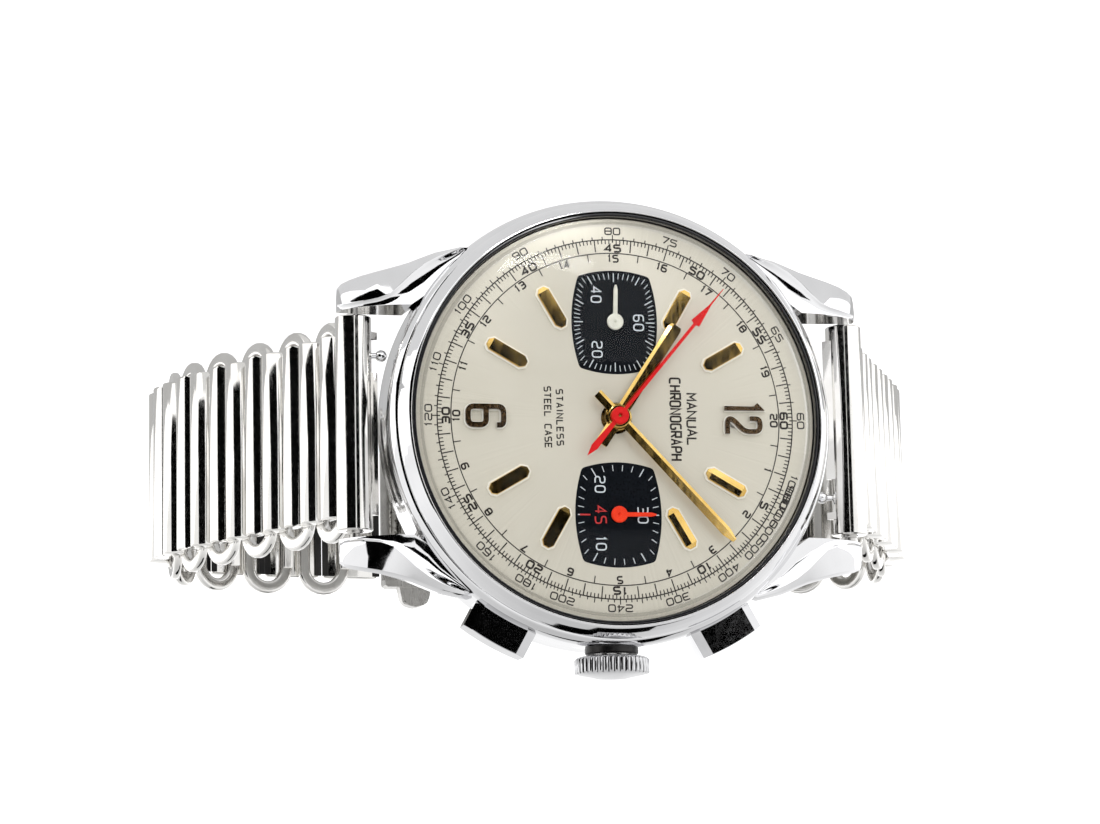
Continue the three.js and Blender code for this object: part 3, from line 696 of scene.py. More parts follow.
build("bezel_ring", lathe([
    (RING_OUTER + 0.04, BEZEL_FOOT), (18.02, BEZEL_FOOT), (BEZEL_RADIUS, -0.52), (BEZEL_RADIUS, -0.42),
    (18.0, -0.2), (17.72, 0.3), (17.4, 0.75), (RING_OUTER + 0.14, 0.86), (RING_OUTER + 0.04, 0.84),
], 200, 0.06), CASE_STEEL, "case", ["bezel"], 50)

build("tension_ring", lathe([
    (RING_FACE, BEZEL_FOOT), (RING_OUTER, BEZEL_FOOT), (RING_OUTER, 0.66), (RING_OUTER - 0.08, 0.75),
    (RING_FACE + 0.06, 0.75), (RING_FACE, 0.66),
], 200, 0.04), BLACK_GLOSS, "case", ["crystal_ring"], 50)


def crystal_dome():
    outer = [(0, 3.5), (4, 3.44), (8, 3.22), (11, 2.88), (13.4, 2.44), (15, 1.98), (15.9, 1.55), (16.4, 1.05),
             (16.62, JOINT_GAP)]
    inner = [(16.42, JOINT_GAP), (16.2, 0.95), (15.7, 1.36), (14.85, 1.72), (13.3, 2.12), (10.9, 2.5), (7.9, 2.82),
             (4, 3.02), (0, 3.08)]
    return lathe(outer + inner, 160)


build("crystal_dome", crystal_dome(), ACRYLIC, "case", ["crystal"], 40)


def case_back():
    """A pressed back with a stepped rim, a flat middle and six opening notches."""
    disc = lathe([
        (0, -7.5), (17.6, -7.5), (17.6, -8.0), (17.3, -8.25), (16.4, -8.5), (15.9, -8.95), (15.6, -BACK_DEPTH),
        (14.2, -BACK_DEPTH), (14.0, -BACK_DEPTH + 0.12), (13.7, -BACK_DEPTH + 0.12), (13.5, -BACK_DEPTH),
        (0, -BACK_DEPTH),
    ], 180, 0.05)
    studs = []
    for i in range(6):
        x, y = around(60 * i + 30, 16.75)
        turn = Matrix.Translation((x, y, 0)) @ Matrix.Rotation(-math.radians(60 * i + 30), 4, "Z")
        stud = prism(box(1.1, -0.35, 0.35), -8.6, -8.2, 0.08, True)
        studs.append(moved(stud, turn))
    return joined(disc, *studs)


build("case_back_plate", case_back(), BACK_STEEL, "case", ["case_back"], 30)

# ---------------------------------------------------------------- dial


def dial_plate():
    """A flat disc with the dial's thickness, open at the three hubs."""
    mesh = bmesh.new()
    holes = [(0, 0, 1.3), (SUBDIAL_OFFSET, 0, 0.45), (-SUBDIAL_OFFSET, 0, 0.45)]
    loops = [arc(0, 0, DIAL_RADIUS, 0, 2 * math.pi, 180)[:-1]]
    loops += [arc(x, y, r, 0, 2 * math.pi, 32)[:-1] for x, y, r in holes]
    edges = []
    for loop in loops:
        ring = [mesh.verts.new((x, y, 0)) for x, y in loop]
        edges += [mesh.edges.new((ring[i - 1], ring[i])) for i in range(len(ring))]
    bmesh.ops.triangle_fill(mesh, use_beauty=True, edges=edges, normal=(0, 0, 1))
    top = list(mesh.faces)
    raised = bmesh.ops.extrude_face_region(mesh, geom=top)
    for item in raised["geom"]:
        if isinstance(item, bmesh.types.BMVert):
            item.co.z = -DIAL_THICKNESS
    return freed(mesh)


TACHYMETER_FIGURES = [*range(1000, 200, -100), 240, 200, 180, 160, 140, 120, 110, 100, 90, 80, 75, 70, 65, 60]
TACHYMETER_MARKS = [(60, 100, 1, 5), (100, 200, 2, 10), (200, 300, 5, 20), (300, 500, 10, 50), (500, 1000, 50, 100)]


def tachymeter_degrees(speed):
    """Clockwise degrees at which a kilometre at this speed takes one turn's share of a minute."""
    return 3600 / speed * 6


def tachymeter():
    shapes = [circle(OUTER_TRACK, 0.1, INK_LEVEL)]
    for speed in TACHYMETER_FIGURES:
        degrees = tachymeter_degrees(speed)
        shapes.append(radial_text(str(speed), degrees, 15.66, 0.54, 0.11, INK_LEVEL, wide=1.0, gap=0.33))
    for start, stop, step, long_step in TACHYMETER_MARKS:
        for speed in range(start, stop, step):
            reach = 0.42 if (speed - start) % long_step == 0 else 0.26
            shapes.append(tick(tachymeter_degrees(speed), OUTER_TRACK, OUTER_TRACK + reach, 0.085, INK_LEVEL))
    return joined(*shapes)


def seconds_track():
    shapes = [circle(INNER_TRACK, 0.09, INK_LEVEL)]
    for fifth in range(300):
        degrees = fifth * 1.2
        if fifth % 5:
            shapes.append(tick(degrees, OUTER_TRACK - 0.36, OUTER_TRACK, 0.09, INK_LEVEL))
            continue
        at_figure = fifth % 25 == 0
        shapes.append(tick(degrees, OUTER_TRACK - (0.24 if at_figure else 1.0), OUTER_TRACK, 0.1, INK_LEVEL))
    for seconds in range(5, 65, 5):
        shapes.append(radial_text(str(seconds), seconds * 6, 14.22, 0.56, 0.165, INK_LEVEL, wide=0.95, gap=0.4))
    for part in range(1, 21):
        shapes.append(radial_text(str(part), part * 18, 13.36, 0.55, 0.145, INK_LEVEL, wide=0.75, gap=0.34))
        shapes.append(tick(part * 18 - 9, INNER_TRACK - 0.62, INNER_TRACK, 0.09, INK_LEVEL))
    return joined(*shapes)


def dial_words():
    """Generic words where the real dial has its maker's text."""
    rows = [("MANUAL", 0.76, 0.15, 6.35, 0.72, 0.26), ("CHRONOGRAPH", 0.86, 0.16, 5.0, 0.5, 0.24),
            ("STAINLESS", 0.52, 0.11, -4.75, 0.66, 0.42), ("STEEL CASE", 0.52, 0.11, -5.75, 0.66, 0.34)]
    return joined(*[text(words, height, width, INK_LEVEL, 0, y, wide=wide, gap=gap, rounding=0.2)
                    for words, height, width, y, wide, gap in rows])


def cushion(grow=0.0):
    """The outline of a small dial: four bowed sides between softened corners."""
    x, y = 3.84 + grow, 3.0 + grow
    corners = [(x, -y), (x, y), (-x, y), (-x, -y)]
    points = []
    for i, corner in enumerate(corners):
        sagitta = 0.5 if i % 2 == 0 else 0.62
        points += bow(corner, corners[(i + 1) % 4], sagitta, 12)[:-1]
    return points


def border_reach(outline, degrees):
    """How far the outline is from its middle in a direction, clockwise from 12 o'clock."""
    dx, dy = around(degrees, 1.0)
    best = 0.0
    for i, (x1, y1) in enumerate(outline):
        x0, y0 = outline[i - 1]
        cross = dx * (y1 - y0) - dy * (x1 - x0)
        if abs(cross) < 1e-9:
            continue
        t = (x0 * (y1 - y0) - y0 * (x1 - x0)) / cross
        s = (x0 * dy - y0 * dx) / cross
        if t > 0 and -1e-6 <= s <= 1 + 1e-6:
            best = max(best, t)
    return best


def small_ticks(count, long_reach, short_reach):
    outline = cushion(-0.22)
    shapes = []
    for i in range(count):
        degrees = 360 * i / count
        outer = border_reach(outline, degrees)
        long_one = i % 5 == 0
        reach = long_reach if long_one else short_reach
        shapes.append(tick(degrees, outer - reach, outer, 0.085 if long_one else 0.06, SUBDIAL_INK))
    return joined(*shapes)


def small_figures(figures, height=0.82, width=0.115):
    return joined(*[text(word, height, width, SUBDIAL_INK, x, y, wide=0.62, gap=0.32) for word, x, y in figures])


build("dial_plate", dial_plate(), DIAL_SILVER, "case", ["dial"], 30)
build("dial_printing", joined(tachymeter(), seconds_track(), dial_words()), DARK_INK, "case", solid=False)
SMALL_DIALS = {
    "seconds": (-1, 60, [("60", 0, 2.05), ("20", 2.3, -1.5), ("40", -2.3, -1.5)]),
    "counter": (1, 30, [("30", 0, 2.05), ("10", 2.35, -1.5), ("20", -2.5, -1.5)]),
}
for name, (side, count, figures) in SMALL_DIALS.items():
    shift = Matrix.Translation((side * SUBDIAL_OFFSET, 0, 0))
    face = prism(filleted(cushion(), 0.25), -0.002, SUBDIAL_LEVEL)
    build(f"small_dial_{name}", moved(face, shift), SUBDIAL_BLACK, "case")
    printing = joined(small_ticks(count, 0.75, 0.5), small_figures(figures))
    build(f"small_dial_{name}_printing", moved(printing, shift), PALE_INK, "case", solid=False)

red_marks = joined(
    small_figures([("45", 0, -1.5)], 0.9, 0.12),
    ribbon([(0, -2.35), (0, -3.25)], 0.13, SUBDIAL_INK + 0.004),
)
build("counter_red_marks", moved(red_marks, Matrix.Translation((SUBDIAL_OFFSET, 0, 0))), RED_INK, "case",
      solid=False)

# ---------------------------------------------------------------- applied markers and figures


def baton(crest_height):
    """A roofed baton with cut ends and bevelled sides."""
    low, high = MARKER_RADIUS - MARKER_LENGTH / 2, MARKER_RADIUS + MARKER_LENGTH / 2
    half = MARKER_WIDTH / 2
    top = MARKER_FOOT + MARKER_HEIGHT - 0.06
    edge = MARKER_FOOT + 0.2
    rings = []
    for y, width, rise in ((low, half * 0.35, edge), (low + 0.04, half * 0.42, top - 0.02), (low + 0.42, half, top),
                           (high - 0.36, half, top), (high - 0.04, half * 0.5, top - 0.02),
                           (high, half * 0.42, edge)):
        shoulder = width * 0.9
        base = min(edge, rise)
        crest = rise + crest_height * (width == half)
        rings.append([(-width, y, MARKER_FOOT), (width, y, MARKER_FOOT), (width, y, base), (shoulder, y, rise),
                      (0, y, crest), (-shoulder, y, rise), (-width, y, base)])
    return loft(rings)


def baton_rim():
    """A pale foot that shows all round a baton: a painted highlight of the baton's bevelled edges."""
    low, high = MARKER_RADIUS - MARKER_LENGTH / 2 - 0.12, MARKER_RADIUS + MARKER_LENGTH / 2 + 0.12
    half = MARKER_WIDTH / 2 + 0.13
    outline = mirrored([(half * 0.42, low), (half, low + 0.45), (half, high - 0.4), (half * 0.48, high)])
    return prism(outline, 0, MARKER_FOOT + 0.12, 0.03)


for hour in (1, 2, 4, 5, 7, 8, 10, 11):
    spin = Matrix.Rotation(-hour * math.pi / 6, 4, "Z")
    crest = 0.055 if hour < 3 else 0.01
    build(f"baton_{hour}", moved(baton(crest), spin), GOLD, "case", [f"marker_{hour}"], 4)
    # each baton's pale foot is a painted highlight round its edges
    build(f"baton_{hour}_rim", moved(baton_rim(), spin), EDGE_HIGHLIGHT_CREAM, "case", [f"marker_{hour}"], 20)


def figure(lines, width, level, height, bevel):
    """An applied figure: each stroke a raised bar."""
    shapes = []
    for line in lines:
        points, _ = ribbon(line, width, 0)
        left, right = points[0::2], points[1::2]
        outline = [(x, y) for x, y, _ in left] + [(x, y) for x, y, _ in right[::-1]]
        shapes.append(prism(outline, level, height, bevel))
    return joined(*shapes)


FIGURES = {
    "one": ("numeral_12_one", [[(-1.25, 11.75), (-0.92, 12.1), (-0.92, 9.1)]], 0.42),
    "two": ("numeral_12_two", [filleted([(-0.08, 11.25), (-0.08, 12.08), (1.0, 12.08), (1.0, 10.75), (-0.05, 9.75),
                                         (-0.05, 9.3), (1.2, 9.3)], 0.45, 5, False)], 0.42),
    "six": ("numeral_6", [filleted([(0.76, -10.05), (0.76, -9.5), (-0.76, -9.5), (-0.76, -12.45), (0.76, -12.45),
                                    (0.76, -10.95), (-0.62, -10.95)], 0.5, 5, False)], 0.46),
}
for name, (node, lines, width) in FIGURES.items():
    foot, top = MARKER_FOOT, MARKER_FOOT + MARKER_HEIGHT
    # each figure's pale foot is a painted highlight round its edges
    build(f"figure_{name}_rim", figure(lines, width + 0.16, foot, foot + 0.14, 0.03), EDGE_HIGHLIGHT_CREAM, "case",
          [node], 25)
    # the figures' dark gilt is a painted dark reflection
    build(f"figure_{name}", figure(lines, width - 0.04, foot + 0.1, top, 0.06), GILT_PAINTED_DARK, "case",
          [node], 25)

# ---------------------------------------------------------------- hands


def hub(radius, low, high, hole=0.0):
    if hole:
        return lathe([(hole, low), (radius, low), (radius, high - 0.06), (radius - 0.08, high), (hole + 0.05, high),
                      (hole, high - 0.05)], 48)
    return lathe([(0, low), (radius, low), (radius, high - 0.06), (radius - 0.1, high), (0, high)], 48)


def pointed_hand(degrees, shape, x=0.0):
    turn = Matrix.Rotation(-math.radians(degrees), 4, "Z")
    return moved(shape, Matrix.Translation((x, 0, 0)) @ turn)


def gilt_hand(name, degrees, tip, tail, width, low, falls, share, collar, point, blunt, body):
    """A roofed gilt hand with a chisel tip, a short tail and a round collar."""
    half = width / 2
    stations = [(-tail, half * 0.86), (-tail + 0.12, half * 0.92), (0, half * 0.92), (tip - point, half),
                (tip, half * blunt)]
    ridge = low + 0.22
    edges = [ridge - fall for fall in falls]
    shape = joined(blade(stations, low, edges, ridge, share), hub(collar, low, ridge - 0.04, 0.45))
    build(f"{name}_blade", pointed_hand(degrees, shape), GOLD, body, [name], 4)


gilt_hand("hour_hand", 303.5, 9.2, 2.7, 1.12, 0.6, (0.13, 0.02), -0.5, 1.12, 0.3, 0.8, "hour_hand")
gilt_hand("minute_hand", 47, 13.9, 2.6, 0.8, 0.92, (0.02, 0.15), -0.35, 0.95, 1.0, 0.4, "minute_hand")


def chronograph_hand():
    low, high = 1.24, 1.4
    shaft = mirrored([(0, -4.35), (0.3, -3.4), (0.14, 0), (0.11, 10.1), (0.42, 10.2), (0.08, 12.2), (0.03, 14.0)])
    return joined(prism(shaft, low, high, 0.03), hub(0.72, low - 0.02, high + 0.16, 0.16))


build("chronograph_hand", pointed_hand(310, chronograph_hand()), RED_LACQUER, "chrono_seconds",
      ["chrono_seconds_hand"], 28)
build("chronograph_pin", joined(hub(0.15, 0.6, 1.5), hub(0.95, 1.13, 1.2, 0.3)), GOLD, "chrono_seconds",
      crease=28)


def small_hand():
    low, high = 0.25, 0.42
    shaft = mirrored([(0.18, 0), (0.17, 2.7), (0.06, 3.1)])
    return joined(prism(shaft, low, high, 0.035), hub(0.68, low, high + 0.06, 0.1), hub(0.25, -0.4, low + 0.05))


build("seconds_small_hand", pointed_hand(272, small_hand(), -SUBDIAL_OFFSET), WHITE_LACQUER, "running_seconds",
      ["running_seconds_hand"], 28)
build("counter_small_hand", pointed_hand(0, small_hand(), SUBDIAL_OFFSET), ORANGE_LACQUER, "minute_counter",
      ["minute_counter_hand"], 28)

# ---------------------------------------------------------------- crown and pushers


def crown():
    """A knurled grip between a chamfered neck and a domed end."""
    end = CROWN_START + CROWN_LENGTH
    grip_start, grip_end = CROWN_START + 0.16, end - 0.5
    steps = CROWN_RIBS * 8
    stations = [(CROWN_START, 2.7, 0.0), (CROWN_START + 0.05, 2.85, 0.0), (grip_start - 0.05, 2.94, 0.0),
                (grip_start, 2.95, 0.4), (grip_start + 0.1, 3.04, 1.0), (grip_end - 0.1, 3.04, 1.0),
                (grip_end, 2.98, 0.4), (grip_end + 0.05, 2.9, 0.0), (grip_end + 0.16, 2.55, 0.0),
                (grip_end + 0.27, 1.9, 0.0), (end - 0.06, 1.1, 0.0), (end - 0.01, 0.4, 0.0)]
    rings = []
    for x, radius, share in stations:
        ring = []
        for i in range(steps):
            angle = 2 * math.pi * i / steps
            wave = abs(math.sin(angle * CROWN_RIBS / 2)) ** 0.6
            r = radius + share * (CROWN_RADIUS - radius) - share * 0.17 * (1 - wave)
            ring.append((x, r * math.cos(angle), STEM_LEVEL + r * math.sin(angle)))
        rings.append(ring)
    return loft(rings)


# the crown's darker steel is painted shade
build("crown_grip", crown(), GREYED_CONTROL_STEEL, "crown", ["crown"], 30)


def pusher(turn):
    """A block cap whose outer face follows the case, its edges cut back, on a round stem."""
    half = PUSHER_WIDTH / 2
    low, high = STEM_LEVEL - PUSHER_HEIGHT / 2, STEM_LEVEL + PUSHER_HEIGHT / 2
    chamfer, foot = 0.42, PUSHER_START - 0.8

    def outline(side_cut, outer_cut):
        reach, width = PUSHER_REACH - outer_cut, half - side_cut
        spread = math.asin(width / reach)
        return [(foot, -width)] + arc(0, 0, reach, -spread, spread, 16) + [(foot, width)]

    levels = [(low, 0.25, 0.12), (low + 0.14, 0.05, 0.0), (high - chamfer, 0.0, 0.0), (high - 0.04, 0.7, 0.0),
              (high, 0.76, 0.05)]
    rings = [[(x, y, z) for x, y in outline(side, outer)] for z, side, outer in levels]
    stem = along_x(lathe([(0, 15.6), (0.5, 15.6), (0.5, PUSHER_START + 0.1), (0, PUSHER_START + 0.1)], 32))
    stem = moved(stem, Matrix.Translation((0, 0, STEM_LEVEL)))
    return moved(joined(loft(rings), stem), Matrix.Rotation(math.radians(turn), 4, "Z"))


# the pushers' darker steel is painted shade too
for name, turn in (("start", PUSHER_ANGLE), ("reset", -PUSHER_ANGLE)):
    build(f"{name}_pusher_cap", pusher(turn), GREYED_CONTROL_STEEL, f"{name}_pusher", [f"{name}_pusher"], 20)


def coil_spring(turn):
    """A wire coil in the space of the CAD's sleeve."""
    start, stop, radius, wire, turns = 16.95, 17.75, 0.88, 0.13, 3
    steps = turns * 20
    rings = []
    for i in range(steps + 1):
        angle = 2 * math.pi * turns * i / steps
        x = start + (stop - start) * i / steps
        out = Vector((0, math.cos(angle), math.sin(angle)))
        middle = Vector((x, 0, STEM_LEVEL)) + out * radius
        rings.append([tuple(middle + out * wire * math.cos(a) + Vector((wire * math.sin(a), 0, 0)))
                      for a in (k * math.pi / 4 for k in range(8))])
    return moved(loft(rings), Matrix.Rotation(math.radians(turn), 4, "Z"))


for name, turn in (("start", PUSHER_ANGLE), ("reset", -PUSHER_ANGLE)):
    build(f"{name}_coil", coil_spring(turn), BRUSHED_STEEL, "case", [f"{name}_pusher_spring"], 60)

# ---------------------------------------------------------------- bracelet's centre line


def spline_points(loop, steps=64):
    """A centripetal Catmull-Rom curve through the loop and its mirror image, as dense (y, z) points."""
    knots = [Vector((out, -depth)) for out, depth in loop]
    knots += [Vector((-k.x, k.y)) for k in knots[-2::-1]]
    points = []
    for i in range(len(knots) - 1):
        p1, p2 = knots[i], knots[i + 1]
        p0 = knots[i - 1] if i else p1 * 2 - p2
        p3 = knots[i + 2] if i + 2 < len(knots) else p2 * 2 - p1
        d0, d1, d2 = (math.sqrt((b - a).length) for a, b in ((p0, p1), (p1, p2), (p2, p3)))
        t1 = ((p1 - p0) / d0 - (p2 - p0) / (d0 + d1) + (p2 - p1) / d1) * d1
        t2 = ((p2 - p1) / d1 - (p3 - p1) / (d1 + d2) + (p3 - p2) / d2) * d1
        for k in range(steps):
            u = k / steps
            points.append(p1 + t1 * u + (p1 * -3 + p2 * 3 - t1 * 2 - t2) * u ** 2
                          + (p1 * 2 - p2 * 2 + t1 + t2) * u ** 3)
    points.append(knots[-1])
    return points


CENTRE_LINE = spline_points(LOOP)
LENGTHS = [0.0]
for before, after in zip(CENTRE_LINE, CENTRE_LINE[1:]):
    LENGTHS.append(LENGTHS[-1] + (after - before).length)
HALF_LENGTH = LENGTHS[-1] / 2
END_BAR = TUBE_RADIUS + 0.15 + BARREL_LINK
FIRST_EDGE = END_BAR + BARREL_LINK + JOINT_GAP
PITCH = (HALF_LENGTH - CLASP_HALF - FIRST_EDGE) / COVER_COUNT


def frame_at(distance):
    """The matrix at a distance from the spring bar: X across the wrist, Y along the band, Z out of the loop."""
    i = next(k for k, length in enumerate(LENGTHS) if length >= distance or k == len(LENGTHS) - 1)
    i = max(i, 1)
    share = (distance - LENGTHS[i - 1]) / (LENGTHS[i] - LENGTHS[i - 1])
    place = CENTRE_LINE[i - 1].lerp(CENTRE_LINE[i], share)
    step = (CENTRE_LINE[min(i + 1, len(CENTRE_LINE) - 1)] - CENTRE_LINE[max(i - 2, 0)]).normalized()
    across, along = Vector((1, 0, 0)), Vector((0, step.x, step.y))
    matrix = Matrix((across, along, across.cross(along))).transposed().to_4x4()
    matrix.translation = Vector((0, place.x, place.y))
    return matrix


def cover_place(index):
    return FIRST_EDGE + PITCH * (index + 0.5)


def ring_start(index):
    return cover_place(index - 1) + STRIP_OFFSET if index else END_BAR + 0.1


# ---------------------------------------------------------------- bracelet pieces


def across_bar(section, half, bevel):
    """A section of (along, out) carried across the wrist, its two ends rounded in."""
    middle_y = sum(y for y, _ in section) / len(section)
    middle_z = sum(z for _, z in section) / len(section)
    rings = []
    for x, inset in ((-half, bevel), (-half + bevel * 0.3, bevel * 0.3), (-half + bevel, 0), (half - bevel, 0),
                     (half - bevel * 0.3, bevel * 0.3), (half, bevel)):
        ring = []
        for y, z in section:
            away = Vector((y - middle_y, z - middle_z))
            away -= away.normalized() * min(inset, away.length)
            ring.append((x, middle_y + away.x, middle_z + away.y))
        rings.append(ring)
    return loft(rings)


def cover():
    """Two half-round bars folded from one sheet, closed under the ring wires."""
    r = BARREL_LINK
    section = [(-2 * r - 0.03, -0.2)]
    section += arc(-r - 0.03, 0, r, math.pi, 0.14, 14)
    section += [(0, 0.04)]
    section += arc(r + 0.03, 0, r, math.pi - 0.14, 0, 14)
    section += [(2 * r + 0.03, -0.2), (2 * r - 0.25, -0.42), (-2 * r + 0.25, -0.42)]
    return across_bar(section, COVER_HALF, 0.16)


def lining():
    """Dark strips under the two edges of a cover: painted shade, seen in the gaps between covers."""
    inner, outer = 2 * BARREL_LINK - 0.3, PITCH / 2 - 0.05
    strips = []
    for low, high in ((-outer, -inner), (inner, outer)):
        section = [(low, -0.52), (high, -0.52), (high, -0.44), (low, -0.44)]
        strips.append(across_bar(section, COVER_HALF - 0.15, 0.02))
    return joined(*strips)


def stadium(half, radius, steps=12):
    """Points round a stadium that lies across the wrist, and which way is out at each."""
    points, outs = [], []
    for centre, start in ((half - radius, -math.pi / 2), (radius - half, math.pi / 2)):
        for x, y in arc(0, 0, 1, start, start + math.pi, steps):
            points.append(Vector((centre + radius * x, radius * y, 0)))
            outs.append(Vector((x, y, 0)))
    return points, outs


def ring_link(start, stop):
    """A flat wire ring with round ends between two distances along the band."""
    radius = (stop - start) / 2
    half = RING_HALF - STRIP / 2
    path, outs = stadium(half, radius)
    thick = (RING_HIGH - RING_LOW) / 2
    inner, outer = STRIP / 2 - WIRE_WIDTH, STRIP / 2
    section = filleted([(inner, -thick), (outer, -thick), (outer, thick), (inner, thick)], 0.3, 4)
    level = Vector((0, 0, (RING_LOW + RING_HIGH) / 2))
    rings = [[tuple(p + level + out * s + Vector((0, 0, u))) for s, u in section] for p, out in zip(path, outs)]
    return moved(loft(rings, closed=True), frame_at((start + stop) / 2))


def tie(distance):
    """The folded tab that holds a wire under its cover."""
    section = filleted(mirrored([(0.48, -1.42), (0.62, -0.2)]), 0.2, 3)
    return moved(across_bar(section, 6.9, 0.1), frame_at(distance))


def end_link():
    """The tube round the spring bar, its flange towards the case and the first half-round bar."""
    tube = along_x(lathe([(0.75, -8.9), (TUBE_RADIUS - 0.1, -8.9), (TUBE_RADIUS, -8.8), (TUBE_RADIUS, 8.8),
                          (TUBE_RADIUS - 0.1, 8.9), (0.75, 8.9)], 48))
    tube = moved(tube, Matrix.Translation((0, BAR_REACH, BAR_LEVEL)))
    r = BARREL_LINK
    section = [(-r - 0.25, -0.3)] + arc(0, 0, r, math.pi - 0.1, 0, 16) + [(r, -0.3)]
    bar = moved(across_bar(section, COVER_HALF, 0.14), frame_at(END_BAR))
    shapes = [tube, bar]
    for low, high in ((-COVER_HALF, KNOB_PLACE - 1.5), (KNOB_PLACE + 1.3, COVER_HALF)):
        near = -TUBE_RADIUS
        lip = [(near - 0.5, 0.25), (near + 0.7, 1.1), (0, 1.45), (0, 1.1), (near + 0.3, -0.1)]
        lip = filleted([(BAR_REACH + y, BAR_LEVEL + z) for y, z in lip], 0.12, 3)
        shapes.append(loft([[(x, y, z) for y, z in lip] for x in (low, high)]))
    return joined(*shapes)


def spring_bar():
    stations = [(0, -10.3), (0.32, -10.3), (0.42, -10.15), (0.42, -9.1), (0.62, -9.1), (0.66, -9.0), (0.66, -8.6),
                (0.55, -8.5), (0.55, 8.5), (0.66, 8.6), (0.66, 9.0), (0.62, 9.1), (0.42, 9.1), (0.42, 10.15),
                (0.32, 10.3), (0, 10.3)]
    return moved(along_x(lathe(stations, 32)), Matrix.Translation((0, BAR_REACH, BAR_LEVEL)))


def release_knob():
    place = Vector((KNOB_PLACE, BAR_REACH, BAR_LEVEL))
    stem = rod(0.24, place - Vector((0, 0.95, 0)), place - Vector((0, KNOB_REACH - 0.2, 0)), 16)
    r = KNOB_RADIUS
    ball = lathe([(0, -r)] + [(r * math.cos(a), r * math.sin(a)) for a in
                              (-math.pi / 2 + math.pi * k / 12 for k in range(1, 12))] + [(0, r)], 32)
    return joined(stem, moved(ball, Matrix.Translation(place - Vector((0, KNOB_REACH, 0)))))


for side, turned in (("12", False), ("6", True)):
    for name, shape, material, body, node, crease in (
            ("end_piece", end_link(), BRACELET_STEEL, "end_link", "end_link", 30),
            ("sprung_bar", spring_bar(), BRUSHED_STEEL, "end_link", "spring_bar", 30),
            ("quick_release", release_knob(), CASE_STEEL, "release_knob", "release_knob", 40)):
        build(f"{name}_{side}", shape, material, f"{body}_{side}", [f"{node}_{side}"], crease,
              turned)
    for order, indices in enumerate(SEGMENTS, 1):
        body = f"link_{side}_{order}"
        for index in indices:
            place = cover_place(index)
            stop = place - STRIP_OFFSET
            for name, shape, material in (
                    ("cover", moved(cover(), frame_at(place)), BRACELET_STEEL),
                    # the dark strips under each cover are painted shade in the gaps between covers
                    ("lining", moved(lining(), frame_at(place)), SHADE_BLACK_STEEL),
                    ("wire_ring", joined(ring_link(ring_start(index), stop), tie(stop)), BRACELET_STEEL)):
                build(f"{name}_{side}_{index + 1}", shape, material, body, [body], 40, turned)

# ---------------------------------------------------------------- clasp


def clasp_cover():
    """A shallow tray: a bowed outer plate with turned-up sides, and the loop that the last link hangs on."""
    length = CLASP_HALF - 0.5
    sections = []
    for y in (-length, -length + 0.25, -length / 2, 0, length / 2, length - 0.25, length):
        shrink = 0.18 if abs(y) == length else 0.0
        section = mirrored([(0, -1.4), (4, -1.38), (7.9, -1.32), (8.4 - shrink, -0.9), (8.4 - shrink, 1.25),
                            (7.75, 1.25), (7.65, -0.5), (4, -0.68), (0, -0.7)])
        sections.append([(x, y, CLASP_LEVEL + z) for x, z in section])
    tray = loft(sections)
    loop = rod(0.5, (-8, CLASP_HALF - 1.4, CLASP_LEVEL), (8, CLASP_HALF - 1.4, CLASP_LEVEL))
    ear = prism(filleted([(8, -10.2), (9.9, -9.8), (10.3, -8.6), (9.9, -7.4), (8, -7)], 0.4), CLASP_LEVEL - 0.9,
                CLASP_LEVEL + 0.9, 0.25, True)
    ribs = [rod(0.28, (-7.7, y, CLASP_LEVEL - 0.62), (7.7, y, CLASP_LEVEL - 0.62), 16) for y in (-3, -1, 1, 3)]
    return joined(tray, loop, ear, *ribs)


def leaf(width, start, stop, level, thick=0.45):
    """A stamped strip with softened corners and a raised middle."""
    outline = filleted(box(width / 2, start, stop), 1.1, 5)
    plate = prism(outline, level - thick / 2, level + thick / 2, 0.1, True)
    pad = filleted(box(width / 2 - 1.6, start + 2, stop - 2), 1.4, 5)
    return joined(plate, prism(pad, level + thick / 2 - 0.05, level + thick / 2 + 0.08, 0.06))


leaf_start = 1.6 - CLASP_HALF
leaf_stop = CLASP_HALF - 3.4
middle_leaf = joined(
    leaf(13.6, leaf_start, leaf_stop, CLASP_LEVEL),
    rod(0.45, (-6.8, leaf_start, CLASP_LEVEL), (6.8, leaf_start, CLASP_LEVEL)),
)
inner_level = CLASP_LEVEL + 0.85
inner_leaf = joined(
    leaf(10, leaf_start + 0.5, leaf_stop - 0.6, inner_level),
    rod(0.35, (-5, leaf_stop - 0.6, inner_level), (5, leaf_stop - 0.6, inner_level)),
)
build("clasp_tray", clasp_cover(), BRUSHED_STEEL, "clasp_cover", ["clasp_cover"], 30)
build("clasp_leaf_outer", middle_leaf, STIPPLED_STEEL, "clasp_middle_leaf",
      ["clasp_middle_leaf"], 30)
build("clasp_leaf_inner", inner_leaf, STIPPLED_STEEL, "clasp_inner_leaf", ["clasp_inner_leaf"], 30)

# ---------------------------------------------------------------- CAD nodes that stay: the movement

MOVEMENT = {
    PERLAGE: ["main_plate"],
    STRIPED_STEEL: ["train_bridge", "balance_cock"],
    MOVEMENT_BRASS: ["mainspring_barrel", "center_wheel", "third_wheel", "fourth_wheel", "chrono_wheel",
                     "minute_counter_wheel", "balance_wheel"],
    BRUSHED_STEEL: ["escape_wheel", "pallet_fork", "winding_stem", "setting_lever", "crown_tube"],
    RUBBER: ["case_back_gasket"],
}
for material, nodes in MOVEMENT.items():
    for node in nodes:
        mesh = frame["nodes"][node].data
        mesh.materials.clear()
        mesh.materials.append(material)


# ---------------------------------------------------------------- stage: floor, light and cards

